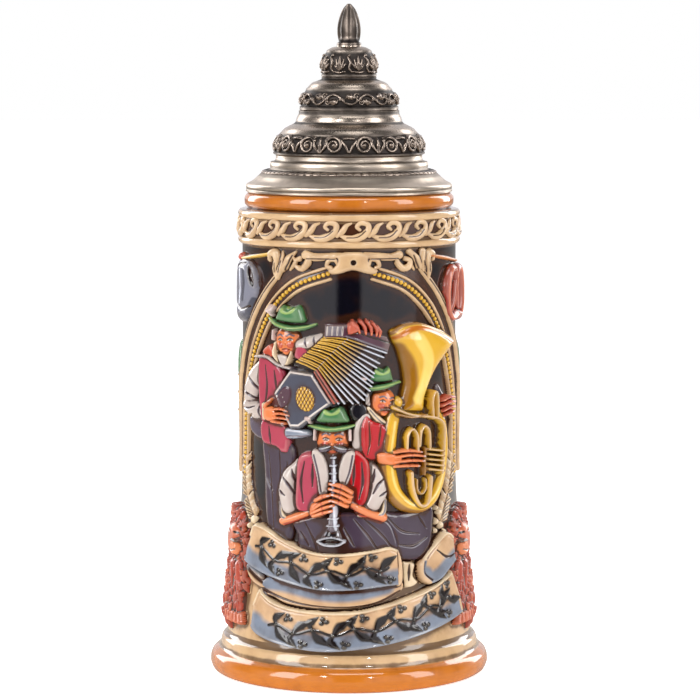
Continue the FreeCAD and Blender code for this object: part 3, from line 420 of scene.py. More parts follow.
# %% Towers
for side, name in ((-1, "left_tower"), (1, "right_tower")):
    tower = Sheet(name, (side * 75.4 - 6, 91), (side * 75.4 + 6, 152))
    mid = side * 75.4
    tower.pad([(mid - 4, 92), (mid - 4, 118), (mid + 4, 118), (mid + 4, 92)], 1.7, 0.8, "steeple", False)
    tower.pad([(mid - 3, 117), (mid - 3, 134), (mid + 3, 134), (mid + 3, 117)], 1.9, 0.8, "steeple", False)
    tower.pad([(mid - 3.6, 134), (mid - 1.2, 142), (mid, 150.5), (mid + 1.2, 142), (mid + 3.6, 134)],
              2.1, 1.6, "leaf", False)
    for z, half in ((118, 4.4), (126, 3.3), (134, 3.7)):
        tower.roll([(mid - half, z), (mid + half, z)], 0.6, 2.4, "cream")
    for z in (98, 105, 112, 122, 130):
        for u in (mid - 1.5, mid + 1.5):
            tower.lift([(u - 0.7, z - 1.4), (u - 0.7, z + 1), (u, z + 1.8), (u + 0.7, z + 1),
                        (u + 0.7, z - 1.4)], -0.9, 0.5, "umber", curve=False)

# %% [markdown]
# ## The lions
# A mane is hundreds of small locks. Each is a short tapering roll, and a fixed random seed gives it
# the same place every time.

# %% Lions with tufted manes
def lion(name, side):
    """A seated lion in profile, its mane laid tuft by tuft round a plain cat's head."""
    dice = np.random.default_rng(7)
    sheet = Sheet(name, sorted((side * 46, side * 92))[:1] + [20], (sorted((side * 46, side * 92))[1], 80))

    def at(points):
        return [(side * u, z) for u, z in points]

    sheet.pad(at([(52, 27), (50, 44), (52, 62), (58, 74), (72, 74), (84, 60), (90, 44), (88, 26), (70, 23)]),
              3.2, 6, "beast")
    for u in (53.5, 60):
        sheet.roll(at([(u + 2, 50), (u, 38), (u - 1, 29)]), [4.0, 3.2, 2.6], 4.4, "beast")
        for toe in (-2.6, 0, 2.6):
            sheet.roll(at([(u - 1 + toe, 29), (u - 1.4 + toe * 1.2, 26)]), 1.5, 4.4, "ember")
    sheet.roll(at([(84, 28), (90, 36), (87, 48), (91, 56)]), [1.6, 1.4, 1.3, 2.4], 3.0, "beast")
    for i in range(330):  # the coat, lock by lock from the top of the mane down
        z = 77 - 50 * i / 330 + dice.uniform(-1.5, 1.5)
        u = dice.uniform(48.5, 89)
        if ((u - 69) / 21) ** 2 + ((z - 52) / 27) ** 2 > 1.06 - 0.2 * (z > 70):
            continue
        sway, length = dice.uniform(-1.6, 1.6), dice.uniform(3.2, 6.2)
        sheet.roll(at([(u, z), (u + sway * 0.3, z - length * 0.5), (u + sway, z - length)]), [0.9, 0.75, 0.25],
                   3.7 + dice.uniform(0, 0.9), ("beast", "ember", "crust", "beast")[i % 4])
    for ring, count, length in ((13, 26, 8), (10, 22, 7)):
        for i in range(count):
            a = 2 * math.pi * (i + dice.uniform(-0.3, 0.3)) / count
            reach = ring + dice.uniform(-1, 1.2)
            bend = a + dice.uniform(0.15, 0.5)
            line = [(61 + math.cos(t) * r * 0.85, 62 + math.sin(t) * r * 0.8)
                    for t, r in ((a, reach - length), (bend, reach - length * 0.4), (a, reach))]
            sheet.roll(at(line), [1.2, 1.0, 0.3], 4.9 + (13 - ring) * 0.12, ("beast", "ember", "crust")[i % 3])
    sheet.pad(at([(55, 58), (54, 66), (61, 70), (67, 66), (66, 58), (61, 54)]), 6.2, 4, "ember")
    sheet.pad(at([(53, 56), (53, 61), (58, 62.5), (60.5, 58), (57, 54.6)]), 6.8, 2, "skin")
    sheet.roll(at([(54, 61.4), (58, 61.6)]), 0.9, 7.1, "umber")
    for u in (56, 62.5):
        sheet.crease(at([(u - 1, 65), (u + 1, 65.3)]), 0.6, 0.3, "black")
    sheet.crease(at([(54, 58), (57, 57.2), (60, 58.6)]), 0.4, 0.4, "umber")
    return sheet


lion("left_lion", -1)
lion("right_lion", 1)


# %% Swags of barley, a hanging mug and a pretzel
def swag(name, path, low, high, ball):
    """Barley laid along a line: a stem with pairs of plump grains, each scored with a thin dark line, and round
    balls.
    """
    sheet = Sheet(name, low, high)
    line = smooth(path)
    sheet.roll(line, 1.2, 1.6, "cream", curve=False)
    steps = np.linspace(0, len(line) - 2, 13).astype(int)
    for i, k in enumerate(steps):
        here, ahead = line[k], line[k + 1] - line[k]
        ahead = ahead / np.linalg.norm(ahead)
        across = np.array([-ahead[1], ahead[0]])
        for side in (-1, 1):
            root = here + across * side * 0.6
            tip = here + ahead * 4.2 + across * side * 3.4
            sheet.roll([root, (root + tip) / 2 + across * side * 0.5, tip], [1.0, 1.5, 0.5],
                       2.7, ("cream", "pale")[i % 2])
            sheet.crease([root, tip], 0.3, 0.35, "stain_and_shade")
    for u, z, size in ball:
        sheet.dot(u, z, size, 3.0, "pale")
    return sheet


swag("left_swag", [(-47, 73), (-52, 79), (-56, 88), (-57, 99)], (-66, 64), (-42, 105),
     [(-47, 72, 2.3), (-50, 69, 1.6), (-44.5, 69.6, 1.5)])
swag("right_swag", [(45, 72), (49, 80), (54, 90), (57, 100)], (36, 62), (66, 106),
     [(41, 72, 1.7), (44, 70, 1.9), (40, 68, 1.5), (43, 76, 1.5), (46, 67, 1.3), (41.5, 78, 1.2)])

jug = Sheet("hanging_mug", (-70, 156), (-36, 193))
jug.pad([(-68, 162), (-67, 184), (-58, 188), (-49, 185), (-45, 175), (-50, 164), (-60, 159)], 3.6, 5,
        "stoneware")
jug.pad(oval(-49.2, 180, 3.0, 6.2, 24), 3.2, 1.0, "stoneware")
jug.lift(oval(-49, 180.2, 2.0, 5.0, 24), -1.6, 1.2, "black")
# Painted shade: blue-grey strokes on the body and black lines at its base and below its rim. The pale stroke is
# a painted highlight.
jug.crease([(-62, 161.6), (-54, 162), (-47.5, 169.4)], 2.0, 0.0, "dusk", False)
jug.crease([(-56, 170), (-54.6, 177), (-55.6, 183)], 1.6, 0.0, "dusk", False)
for shape in ([(-66, 168), (-58, 165), (-50, 167)], [(-66, 181), (-60, 185), (-54, 185.6)]):
    jug.crease(shape, 0.7, 0.5, "black")
jug.crease([(-60, 168), (-58.6, 174), (-59.4, 182)], 0.9, -0.2, "painted_highlight", False)
jug.roll([(-60, 187.6), (-50, 188.8), (-38, 190.6)], 0.95, 2.6, "gold")
jug.dot(-62.5, 188, 2.1, 3.2, "ruddy")

twist = Sheet("pretzel", (36, 156), (74, 194))
twist.roll([(38, 190.2), (48, 188.6), (62, 186.4)], 0.9, 2.4, "honey")
for line in ([(62, 162.5), (55.5, 161.5), (51, 166), (50.6, 175), (54, 182), (59.5, 182.5),
              (62, 176), (64, 168), (69, 163)],
             [(62, 162.5), (68.5, 161.5), (72, 166), (72, 175), (69, 182), (63.5, 182.5),
              (61, 176), (59, 168), (55, 163)]):
    twist.roll(line, [2.2, 2.3, 2.6, 2.6, 2.4, 2.0, 1.8, 1.6, 1.2], 3.9, "crust")
    # painted highlight: a lighter strip along one side of each roll
    twist.crease(beside(smooth(line), 0.5), 0.7, -0.2, "ember", False)
print(len(Sheet.made), "sheets modelled so far")

# %% [markdown]
# ## The squeezebox player
# He stands behind on the left. His shirt, vest and trousers are pads of different height, so that
# the cloth seems to lie in layers, and the folds are creases laid across them.

# %% Player on the left
left = Sheet("left_player", (-60, 62), (-6, 172))
left.pad([(-41, 110), (-40.5, 95), (-38, 72), (-30, 64), (-24, 66), (-23, 90), (-25, 108)], 3.0, 2.5,
         "trouser")
folds(left, [[(-37, 104), (-35, 88), (-33, 70)], [(-31, 106), (-30, 90), (-28, 74)],
             [(-38, 92), (-34, 86)], [(-27, 100), (-26, 84)]], 0.5, 0.9)
left.pad([(-52, 118), (-51.5, 111), (-42, 108.5), (-40, 118)], 2.0, 1.5, "slate")
left.pad([(-43.5, 144.5), (-35, 146), (-28, 140), (-27, 128), (-32, 118), (-42, 117)], 3.9, 2.5, "crimson")
left.pad([(-41, 117.5), (-27, 117), (-25.6, 105), (-29.6, 103.4), (-33, 105.6), (-41, 107.6)], 3.9, 2.0,
         "crimson")
folds(left, [[(-38, 142), (-37, 132), (-39, 120)], [(-33, 140), (-31.5, 130)], [(-36, 115), (-35, 107)]],
      0.4, 0.8, "rosewood")
left.pad([(-40.8, 147.6), (-36, 151.4), (-33, 147), (-36, 144.4)], 3.6, 1.2, "ruddy")
left.pad([(-23.6, 147), (-22, 151.8), (-18, 151.6), (-15.6, 147.6), (-18, 144.6), (-22, 145)], 4.6, 1.6,
         "crimson")
for shape in ([(-33, 152), (-33.2, 147), (-30.6, 142.6)], [(-24.8, 148.4), (-26, 144.4), (-28.2, 141.8)]):
    left.roll(shape, [0.9, 1.2, 0.8], 4.8, "pale")
left.pad([(-31.8, 147), (-26, 146.4), (-28.4, 141)], 4.2, 0.9, "linen")
left.roll([(-44, 145.2), (-37, 145.4), (-31, 142.4), (-24.7, 141)], 1.0, 4.9, "shadow")
left.crease([(-43.6, 145.4), (-37, 145.8), (-31, 142.9), (-25, 141.4)], 0.4, -0.1, "linen")
# sleeves and the two hands
left.roll([(-43, 141), (-47.6, 136), (-51, 129), (-52, 123.6)], [3.2, 4.6, 5.2, 4.4], 4.6, "linen")
left.roll([(-52, 122.6), (-46, 120.8), (-39.6, 121.4)], [4.2, 4.2, 3.2], 4.8, "linen")
folds(left, [[(-50.5, 137), (-46.5, 133), (-44, 128)], [(-54.6, 130), (-49, 127.6), (-44.6, 124.4)],
             [(-55, 122), (-49.6, 121.6), (-45, 123)], [(-51, 117.8), (-46, 119.6)],
             [(-42.4, 125), (-42, 118)]], 0.8, 0.9, "shadow")
left.roll([(-38.6, 124.6), (-38.2, 118.2)], 1.0, 5.3, "pale")
left.pad([(-37.6, 124), (-32, 124.6), (-29, 121.6), (-30, 117.4), (-37.4, 117.4)], 6.6, 2.2, "skin")
hand(left, [[(-31.6, 123), (-28.4, 123.4), (-25.4, 122.4)], [(-31.6, 121), (-28.2, 121.4), (-24.6, 120.6)],
            [(-31.8, 119.2), (-28.4, 119.4), (-25, 118.8)], [(-32.4, 117.6), (-29.6, 117.4), (-26.8, 117)]],
     0.95, 7.6)
hand(left, [[(-36.4, 123.4), (-34.6, 126), (-33.6, 127.2)]], 1.1, 7.4)
left.roll([(-20.6, 151.4), (-16, 152.6), (-11.6, 154.6)], [3.2, 3.4, 2.6], 4.9, "linen")
folds(left, [[(-18.6, 154.8), (-17.4, 151)], [(-14.6, 155.4), (-14, 152)]], 0.6, 0.7)
left.pad([(-27, 115.4), (-17, 114.6), (-16.6, 111.6), (-26.6, 110)], 4.6, 1.2, "sky")
left.crease([(-26.4, 114), (-17.4, 113.4)], 0.4, -0.15, "silver")
left.crease([(-26.4, 111.4), (-17.2, 112)], 0.4, 0.3, "slate")
face(left, -27.4, 153.2, 6.4, 7.2, 2.6, turn=0.1, tilt=3)
left.roll([(-33.6, 157.4), (-33.9, 153.6)], 0.9, 4.4, "tuft")
hat(left, [(-31.8, 161.6), (-31.6, 165.6), (-29.4, 168.9), (-25.6, 168.2), (-21.6, 169), (-19.4, 165.6),
           (-19.6, 161)],
    [(-37.4, 162.6), (-32.4, 160.4), (-25.4, 158.8), (-19, 159.2), (-14.4, 160.6)], 3.4, (-35.2, 166.2))
print("left player modelled")

# %% [markdown]
# ## The squeezebox
# The bellows are one rib repeated: each is a roll that runs down from a top edge, over a ridge and
# along the front. The two ends are flat boxes, one with a grille, one with the right hand on its keys.

# %% Squeezebox
box = Sheet("squeezebox", (-36, 112), (19, 166))
box.pad([(-22, 145), (-17, 149), (-13, 153), (-10, 156), (0, 155.4), (15, 149), (11, 143), (8, 136),
         (6, 128), (-4.6, 126), (-13, 140)], 4.3, 1.2, "ink", False)
top_edge = smooth([(-21.4, 144.6), (-17, 148.6), (-13, 152.4), (-10, 155.6)], parts=12)
ridge = smooth([(-13, 141), (-9.4, 145.6), (-5, 150.4), (-0.6, 154.8)], parts=12)
front = smooth([(-4.2, 126.6), (5, 127.4), (9, 134), (10.4, 141), (15, 148.6)], parts=12)
RIBS = 15
for share in np.linspace(0, 1, RIBS):
    start, bend, end = (p[int(round(share * (len(p) - 1)))] for p in (top_edge, ridge, front))
    box.roll([start, (start + bend) / 2 + (0, 0.3), bend], 0.62, 5.8, "gold", curve=False)
    # The silver of the ribs' front halves also stands for their highlight, and the pale stroke on each is a
    # painted highlight.
    box.roll([bend, (bend + end) / 2, end], 0.62, 6.1, "silver", curve=False)
    box.crease([bend + (bend - start) * 0.05, (bend + end) / 2], 0.5, -0.05, "gold", False,
               widths=[1, 0.2])
    box.crease([(bend + end) / 2, end], 0.36, -0.1, "painted_highlight", False)
box.pad([(-32.9, 130), (-24.7, 141.4), (-13.8, 140.2), (-5.4, 126.6), (-20, 114.6), (-24.7, 114)], 5.6,
        1.4, "dusk", False)
for line in ([(-31, 130), (-24, 139.8), (-15, 138.8), (-7.8, 127)], [(-30.4, 129), (-24, 116.4),
             (-20.6, 116.6), (-8.6, 126.4)]):
    box.crease(line, 0.45, -0.25, "linen", False)
box.pad([(-14.6, 140.6), (-12.4, 142), (-3.6, 127.4), (-6.2, 125.8)], 6.5, 0.7, "crust", False)
box.crease([(-13.2, 140.8), (-5, 127)], 0.4, 0.4, "ink", False)
box.lift(oval(-27, 128.4, 3.0, 5.4, -24), 0.4, 0.8, "rosewood")
for i in range(5):
    box.dot(-28.6 + i * 0.7, 132.6 - i * 2.0, 0.55, 6.3, "linen")
box.pad(oval(-17.6, 128.4, 4.5, 6.2, 14), 6.3, 1.4, "gold")
for i in range(-5, 6):
    for lean in (-1, 1):
        centre, reach = -17.6 + i * 1.5, 6.4
        ends = [(centre - reach * 0.5, 128.4 - lean * reach), (centre + reach * 0.5, 128.4 + lean * reach)]
        line = [p for p in np.linspace(ends[0], ends[1], 25)
                if inside(oval(-17.6, 128.4, 3.9, 5.6, 14), p[0], p[1])]
        if len(line) > 1:
            box.crease(line, 0.3, 0.4, "old_gold", False)
box.pad([(-10.4, 155), (-10, 161.5), (-0.8, 161.5), (15.6, 156), (17, 152.4), (14.9, 145.4), (14.4, 149),
         (-1.6, 155.2)], 5.9, 1.0, "rosewood", False)
box.pad([(-9.6, 156), (-9.4, 160.8), (-2.2, 160.8), (-1.8, 156)], 6.2, 0.6, "shadow", False)
for i in range(4):
    box.crease([(-8.6 + i * 2, 156.6), (-8.4 + i * 2, 160.2)], 0.35, 0.35, "linen", False)
box.crease([(-1, 156.2), (7, 153.2), (15.4, 149.6)], 0.45, -0.2, "shadow")
box.crease([(1, 158.6), (8, 156), (16, 153)], 0.5, 0.3, "ink")
box.pad([(-0.6, 156.4), (-1, 161.4), (3, 162.4), (4.4, 158)], 7.2, 1.8, "ruddy")
hand(box, [[(1.4, 162), (3.2, 160.2), (4.2, 157.6)], [(4.6, 162.4), (6.2, 160), (6.6, 157)],
           [(7.2, 162.2), (8.6, 159.6), (8.8, 156.6)], [(9.4, 161.6), (10.8, 159), (10.8, 156.2)],
           [(11.2, 160), (12.2, 158), (12, 155.8)]], 1.15, 7.8, "ruddy", "skin")
box.pad(oval(4, 122.8, 4.6, 5.0), 3.0, 2.4, "black")
print("squeezebox modelled,", RIBS, "ribs")

# %% [markdown]
# ## The horn player and the big horn
# The horn is tubes and one flared bell. A roll of changing width is a tube, and a wide pad with a
# very round shoulder is the bell. Dark clay in the gaps is painted shade that makes the tubes stand out.

# %% Player on the right
right = Sheet("right_player", (0, 54), (54, 146))
right.pad([(13, 80), (20, 78), (38, 80), (39, 70), (36, 60), (30, 56), (18, 58), (14, 68)], 3.0, 3,
          "trouser")
folds(right, [[(16, 76), (22, 70), (30, 68)], [(20, 64), (27, 63), (34, 66)], [(30, 76), (34, 70)]], 0.7, 1)
right.pad([(1.4, 106), (2, 117), (6, 122.6), (10, 120), (8, 106)], 3.2, 1.6, "linen")
right.pad([(4.6, 103), (4, 116), (6.8, 121.8), (10.2, 119.6), (14, 118.6), (18.4, 114), (19, 107.6),
           (13.4, 101.4), (6.4, 101)], 4.5, 3.0, "scarlet")
folds(right, [[(8, 119), (8.4, 110), (7.4, 104)], [(13, 117), (12, 108)], [(15.4, 113), (14, 105)]],
      0.5, 0.8, "crust")
right.roll([(8, 124.4), (12, 119.6), (17.4, 116.4)], [1.2, 1.8, 1.2], 4.7, "pale")
right.crease([(8.6, 123.6), (12.4, 119), (17, 116)], 0.35, 0.3, "shadow")
face(right, 14.6, 126.6, 5.9, 6.6, 2.6, turn=0.55, tilt=-10)
right.roll([(11.4, 122.8), (14.2, 124), (17, 123.6), (18.8, 122.6)], [0.4, 0.8, 0.75, 0.35], 6.1, "umber")
right.roll([(7.4, 131), (7.6, 127.4), (8.8, 124.6)], [1.3, 1.5, 0.8], 4.8, "black")
for i in range(4):
    right.crease([(6.7 + i * 0.6, 130.6), (7.2 + i * 0.6, 125.8)], 0.25, 0.15, "linen")
hat(right, [(7.8, 136), (8.4, 140.2), (11, 142.8), (14, 141.6), (17, 142.4), (18.4, 139), (18, 135.6)],
    [(5, 133.2), (9.6, 133), (14, 133.6), (18.6, 134.8), (22.4, 135.2)], 3.4, (6.2, 137.6))
right.roll([(44.4, 131), (47, 127), (52, 121)], [1.8, 2.6, 3.4], 2.8, "trouser")
print("right player modelled")

# %% [markdown]
# ## The big horn
# Its tubes are rolls of changing width, with light strokes of paint along them as painted highlights
# and darker strokes as painted shade.

# %% Big horn
horn = Sheet("big_horn", (8, 72), (60, 166))
# painted shade: a dark pad in the gaps between the tubes
horn.pad([(18, 122), (38, 123), (45, 118), (46, 98), (40, 84), (30, 80), (20, 86), (16, 100)], 2.4, 2,
         "ink")
horn.pad([(17.2, 156.8), (21, 159.6), (26, 161), (32, 161.1), (40, 158.7), (48, 155.6), (55.2, 151),
          (50.4, 147.6), (45, 143.6), (40.8, 139.6), (37.4, 134.4), (34.6, 128), (32.4, 121), (19.6, 121),
          (21.6, 127.6), (23.3, 134), (22.8, 141), (20.8, 148)], 7.0, 8, "gold")
# Painted shade down one side of the bell and in a groove under its rim, and a pale painted highlight down its
# middle.
horn.crease([(20.6, 150), (24.6, 143), (25.6, 134), (23.6, 126)], 3.4, 0.2, "old_gold")
horn.crease([(17.6, 156.6), (21.4, 159.3), (26, 160.6), (32, 160.7), (40, 158.3), (48, 155.2),
             (54.8, 151)], 0.8, -0.7, "old_gold")
horn.crease([(19, 155), (26, 158.4), (32, 158.6), (40, 156), (50, 151)], 1.2, 0.35, "honey")
horn.crease([(29, 154), (33, 146), (32, 136), (29, 128)], 3.2, -0.2, "pale_gold")
horn.roll([(20.6, 126), (17.6, 115), (16.4, 105), (16.6, 95), (19.4, 86.4), (25, 81), (31.6, 79.8),
           (37.6, 82.6), (42.4, 89), (45.4, 97), (46.8, 107), (45.6, 115.6), (41.6, 120.6), (36, 121.8)],
          [3.4, 3.6, 4.0, 4.2, 4.2, 3.9, 3.7, 3.5, 3.4, 3.3, 3.2, 3.0, 2.8, 2.4], 6.0, "gold")
# painted shade along the outer edge of the big tube, and a painted highlight along its inner side
horn.crease([(15, 112), (13.6, 100), (15.4, 88), (22, 80), (31, 77.4), (39.6, 80.6), (46, 90),
             (49, 102), (49, 114)], 1.4, 0.1, "old_gold")
horn.crease([(18.8, 118), (17, 104), (18.6, 90), (25, 82.6), (32, 81), (38.4, 84.6), (43.8, 94),
             (45.6, 106)], 0.7, -0.15, "pale_gold")
# each small tube carries a pale painted highlight along it
for line, half, level in (
        ([(17.6, 124.6), (25, 121.2), (35, 119.4), (40.4, 117.4), (42.6, 113.6), (42, 104), (41, 94)],
         1.1, 7.2),
        ([(36.2, 118.6), (35.8, 126), (36.6, 129.4), (38, 130.2), (38.8, 127), (38.8, 118.4)], 0.85, 7.0),
        ([(23.6, 106), (24, 112), (26, 114.6), (28.2, 112), (28.6, 105)], 1.15, 6.8),
        ([(29.4, 107), (30, 113), (32, 115.6), (34.2, 113), (34.6, 106)], 1.15, 6.8),
        ([(25.6, 95.4), (26.2, 88), (28.4, 82), (31, 80.4), (33.6, 83), (35, 92.8)], 1.5, 7.0),
        ([(28.6, 92), (28.8, 87.6), (31, 85.6), (33, 88), (33, 92)], 0.8, 5.4)):
    horn.roll(line, half, level, "gold")
    horn.crease(line, half * 0.45, -0.1, "cream")
# the rungs carry the same painted highlight
for i in range(5):
    z = 95.8 + i * 2.2
    horn.roll([(32.8, z + 0.8), (41.8, z - 0.9)], 0.95, 7.2, "gold", curve=False)
    horn.crease([(33.4, z + 0.7), (41, z - 0.8)], 0.35, -0.1, "cream", False)
    horn.dot(32.8, z + 0.8, 1.1, 7.6, "old_gold")
    horn.dot(41.8, z - 0.9, 1.2, 7.5, "old_gold")
horn.roll([(31.6, 94.2), (32, 105.6)], 0.6, 7.0, "old_gold")
horn.roll([(19.4, 121.6), (26, 120), (31.6, 120.6)], 0.9, 7.6, "old_gold")
# the lower hand comes from the left across the tubes, the upper one holds the far side
horn.pad([(10.6, 104.6), (12, 100), (18, 98), (22, 99.6), (22, 104), (15, 106)], 7.0, 2.6, "skin")
hand(horn, [[(18, 105), (24, 105.4), (30.6, 104.2)], [(18, 102.8), (25, 103.4), (32, 102.2)],
            [(18, 100.8), (25, 101), (31.6, 100.2)], [(18, 98.8), (24, 98.8), (29.4, 98.2)]], 1.15, 8.0)
hand(horn, [[(50.4, 126.6), (47, 127), (43.6, 125.6)], [(50.8, 124.6), (47, 124.8), (43, 123.2)],
            [(50.8, 122.4), (47.4, 122.4), (43.8, 121)], [(50, 120.4), (47.4, 120), (44.8, 119)]], 1.15,
     7.0, "ruddy", "skin")
print("big horn modelled")

# %% [markdown]
# ## The pipe player
# He sits in front, so his relief is the deepest. His pipe stands almost free: it is a narrow roll on
# top of everything else, with both hands round it.

# %% Player in the middle
mid = Sheet("middle_player", (-32, 56), (22, 128))
mid.pad([(-24, 76), (-22, 68), (-18, 60), (18, 58), (20, 70), (14, 77), (0, 79)], 3.6, 3, "trouser")
folds(mid, [[(-18, 74), (-14, 66), (-12, 60)], [(-20, 70), (-16, 64)], [(2, 76), (8, 68), (12, 61)],
            [(6, 76), (13, 69), (18, 62)], [(-2, 72), (2, 64)]], 0.7, 1.0)
mid.pad([(-13.6, 106), (-8, 108), (0, 108), (5, 104), (5, 84), (-12, 84)], 3.9, 3, "ink")
mid.pad([(-21.4, 103), (-15, 105), (-11.4, 98), (-10.8, 86), (-14, 78.6), (-22, 79.4), (-22.6, 92)],
        5.2, 2.0, "crimson")
mid.pad([(1.6, 106), (7.6, 103), (9.2, 96), (7.8, 84), (4, 80.4), (-0.6, 82), (-2.4, 92)], 5.2, 2.0,
        "scarlet")
folds(mid, [[(-18, 101), (-19.4, 92), (-18.4, 83)], [(-14.6, 100), (-14.6, 90)], [(5, 101), (5.4, 92), (4, 85)],
            [(2.2, 100), (1.6, 91)]], 0.5, 0.8, "rosewood")
mid.pad([(-15.4, 105.6), (-10.8, 105.4), (-7.6, 97), (-8, 87), (-11.8, 85.6), (-13.4, 95)], 5.8, 1.0,
        "linen")
mid.pad([(2.6, 105.4), (-1.6, 105.4), (-4.4, 98), (-4, 91.4), (-0.6, 90.6), (1.8, 98)], 5.8, 1.0, "linen")
for shape in ([(-14, 104), (-12.2, 96), (-11, 88)], [(1.4, 104), (0.2, 97), (-1.4, 92)]):
    mid.crease(shape, 0.5, 0.4, "shadow")
# sleeves end in rolled cuffs, and the bare forearms meet on the pipe
for shoulder, cuff in (
        ([(-21.6, 99.6), (-25.6, 94), (-27, 87), (-25.6, 80)], [(-29.6, 82), (-27, 76), (-21, 74.6)]),
        ([(8.8, 99.6), (11.8, 94), (12.4, 88), (9.6, 82)], [(14.8, 84), (13, 78), (4, 77.4)])):
    mid.roll(shoulder, [2.6, 4.0, 4.4, 4.2], 5.8, "linen")
    mid.roll(cuff, [1.0, 1.5, 1.0], 6.6, "pale")
    mid.crease(cuff, 0.5, 0.4, "shadow")
folds(mid, [[(-28.8, 94), (-25.6, 91), (-23, 86)], [(-30, 88), (-26.4, 85.4)], [(-24, 97), (-22.6, 91)],
            [(15, 94), (12, 91.6), (9.6, 87)], [(15.4, 88), (12, 86)], [(10.4, 97.6), (9.6, 92)]], 0.8, 0.9)
mid.roll([(-27.4, 74), (-22, 76), (-16, 78.6), (-11, 81)], [2.6, 2.5, 2.2, 2.2], 6.2, "skin")
mid.roll([(13.6, 76.4), (8, 78.4), (2, 82), (-2, 85.6)], [2.5, 2.5, 2.3, 2.3], 6.4, "skin")
mid.pad([(-16, 77), (-15.6, 82.6), (-11.4, 85.6), (-8.6, 83), (-9, 78), (-12, 76)], 7.4, 2.4, "skin")
mid.pad([(1.6, 83), (2, 88), (-1, 91), (-4.4, 90), (-5, 85), (-2.4, 81.6)], 7.6, 2.4, "skin")
for shape in ([(-26, 72.6), (-18, 75.6), (-12, 78.4)], [(12.6, 74.4), (5, 77.6), (0, 81.4)]):
    mid.crease(shape, 0.9, 0.1, "ruddy")
face(mid, -6.9, 110.4, 7.3, 8.0, 3.2, turn=0.12)
for side in (-1, 1):
    mid.roll([(-6.9 + side * 7.2, 114.6), (-6.9 + side * 7.4, 110.6)], 0.9, 4.8, "tuft")
for side in (-1, 1):  # handlebar moustache
    for drop, level, paint in ((0.9, 6.8, "slate"), (0, 7.4, "black")):
        mid.roll([(-6.6 + side * 0.4, 107.8 - drop), (-6.6 + side * 3, 107.4 - drop),
                  (-6.6 + side * 5.6, 106.6 - drop), (-6.6 + side * 7, 107.6)],
                 [1.3, 1.9, 1.4, 0.5], level, paint)
    # painted highlights: thin silver strokes on the moustache
    for i in range(3):
        mid.crease([(-6.6 + side * (0.8 + i), 108 - i * 0.3), (-6.6 + side * (3.6 + i), 106.9 - i * 0.2)],
                   0.22, -0.1, "silver")
hat(mid, [(-12.9, 118), (-12.6, 122), (-10.4, 125.4), (-7.2, 124.4), (-3.2, 125.6), (-0.6, 122), (-0.5, 118)],
    [(-17.8, 116.6), (-12.6, 115.8), (-7.4, 115.2), (-2, 115.8), (2.5, 116.8)], 4.4, (-16.4, 120))
print("middle player modelled")

# %% [markdown]
# ## The pipe
# The pipe is the highest thing on the front, with both hands round it, so it is pressed last.

# %% The pipe and the hands on it
pipe = Sheet("pipe", (-20, 64), (6, 108))
pipe.roll([(-6.6, 106.4), (-6.2, 98), (-6, 88)], [0.9, 1.6, 1.8], 7.6, "slate")
pipe.roll([(-6, 90), (-6.2, 80), (-6.4, 72)], [1.8, 2.0, 2.5], 7.4, "slate")
pipe.roll([(-6.4, 76), (-6.6, 70.4), (-6.8, 66.6)], [2.4, 3.6, 5.4], 7.2, "black")
pipe.roll([(-11.9, 66.4), (-9.6, 65), (-6.8, 64.6), (-4, 65), (-1.7, 66.4)], 0.85, 8.0, "silver")
pipe.roll([(-11.6, 66.8), (-6.8, 68.2), (-2, 66.8)], 0.55, 7.8, "silver")
pipe.crease([(-9.6, 66.5), (-6.8, 66.3), (-4, 66.5)], 0.8, 1.0, "black")
for z, half in ((103, 0.9), (99.6, 1.2), (96.2, 1.2), (93, 1.3), (76.4, 1.9), (73.2, 2.3)):
    pipe.roll([(-6.2 - half, z), (-6.2 + half, z)], 0.42, 8.0, "silver", curve=False)
# painted highlights: pale strokes down the pipe and a silver stroke down the left of its bell
pipe.crease([(-5.6, 105), (-5.5, 92)], 0.7, -0.1, "painted_highlight", False)
pipe.crease([(-5.4, 82), (-5, 74), (-3.4, 68.4)], 1.0, -0.15, "painted_highlight")
pipe.crease([(-7.4, 82), (-8, 74), (-10, 68.6)], 0.75, -0.1, "silver")
hand(pipe, [[(-13.6, 80.4), (-10.4, 83), (-6.6, 84.4)], [(-14, 78.8), (-10, 81), (-6.2, 82.2)],
            [(-13.6, 77.4), (-9.8, 79), (-6.6, 79.8)], [(-12.8, 84.2), (-10, 86), (-7.4, 86.6)]], 1.5, 8.6)
hand(pipe, [[(0.6, 86), (-3.4, 88.4), (-7.6, 89.4)], [(0.8, 88), (-3, 90.6), (-7.4, 91.6)],
            [(0, 84), (-3.8, 86.2), (-7, 87)], [(-1, 82), (-4, 83.6), (-6.6, 84.2)]], 1.55, 8.8)
print("pipe modelled")

# %% [markdown]
# ## The ribbons
# Three ribbons fold under the players. The real ones would carry words. Here a stem of barley with
# leaves and berries runs along each, in the same dark paint. Cream at the top edge turns to
# grey-blue at the bottom as painted shade, so the paint is laid as wide soft strokes. A pale line on
# the rolled top edge is a painted highlight, and the turned-back ends carry painted shade too.

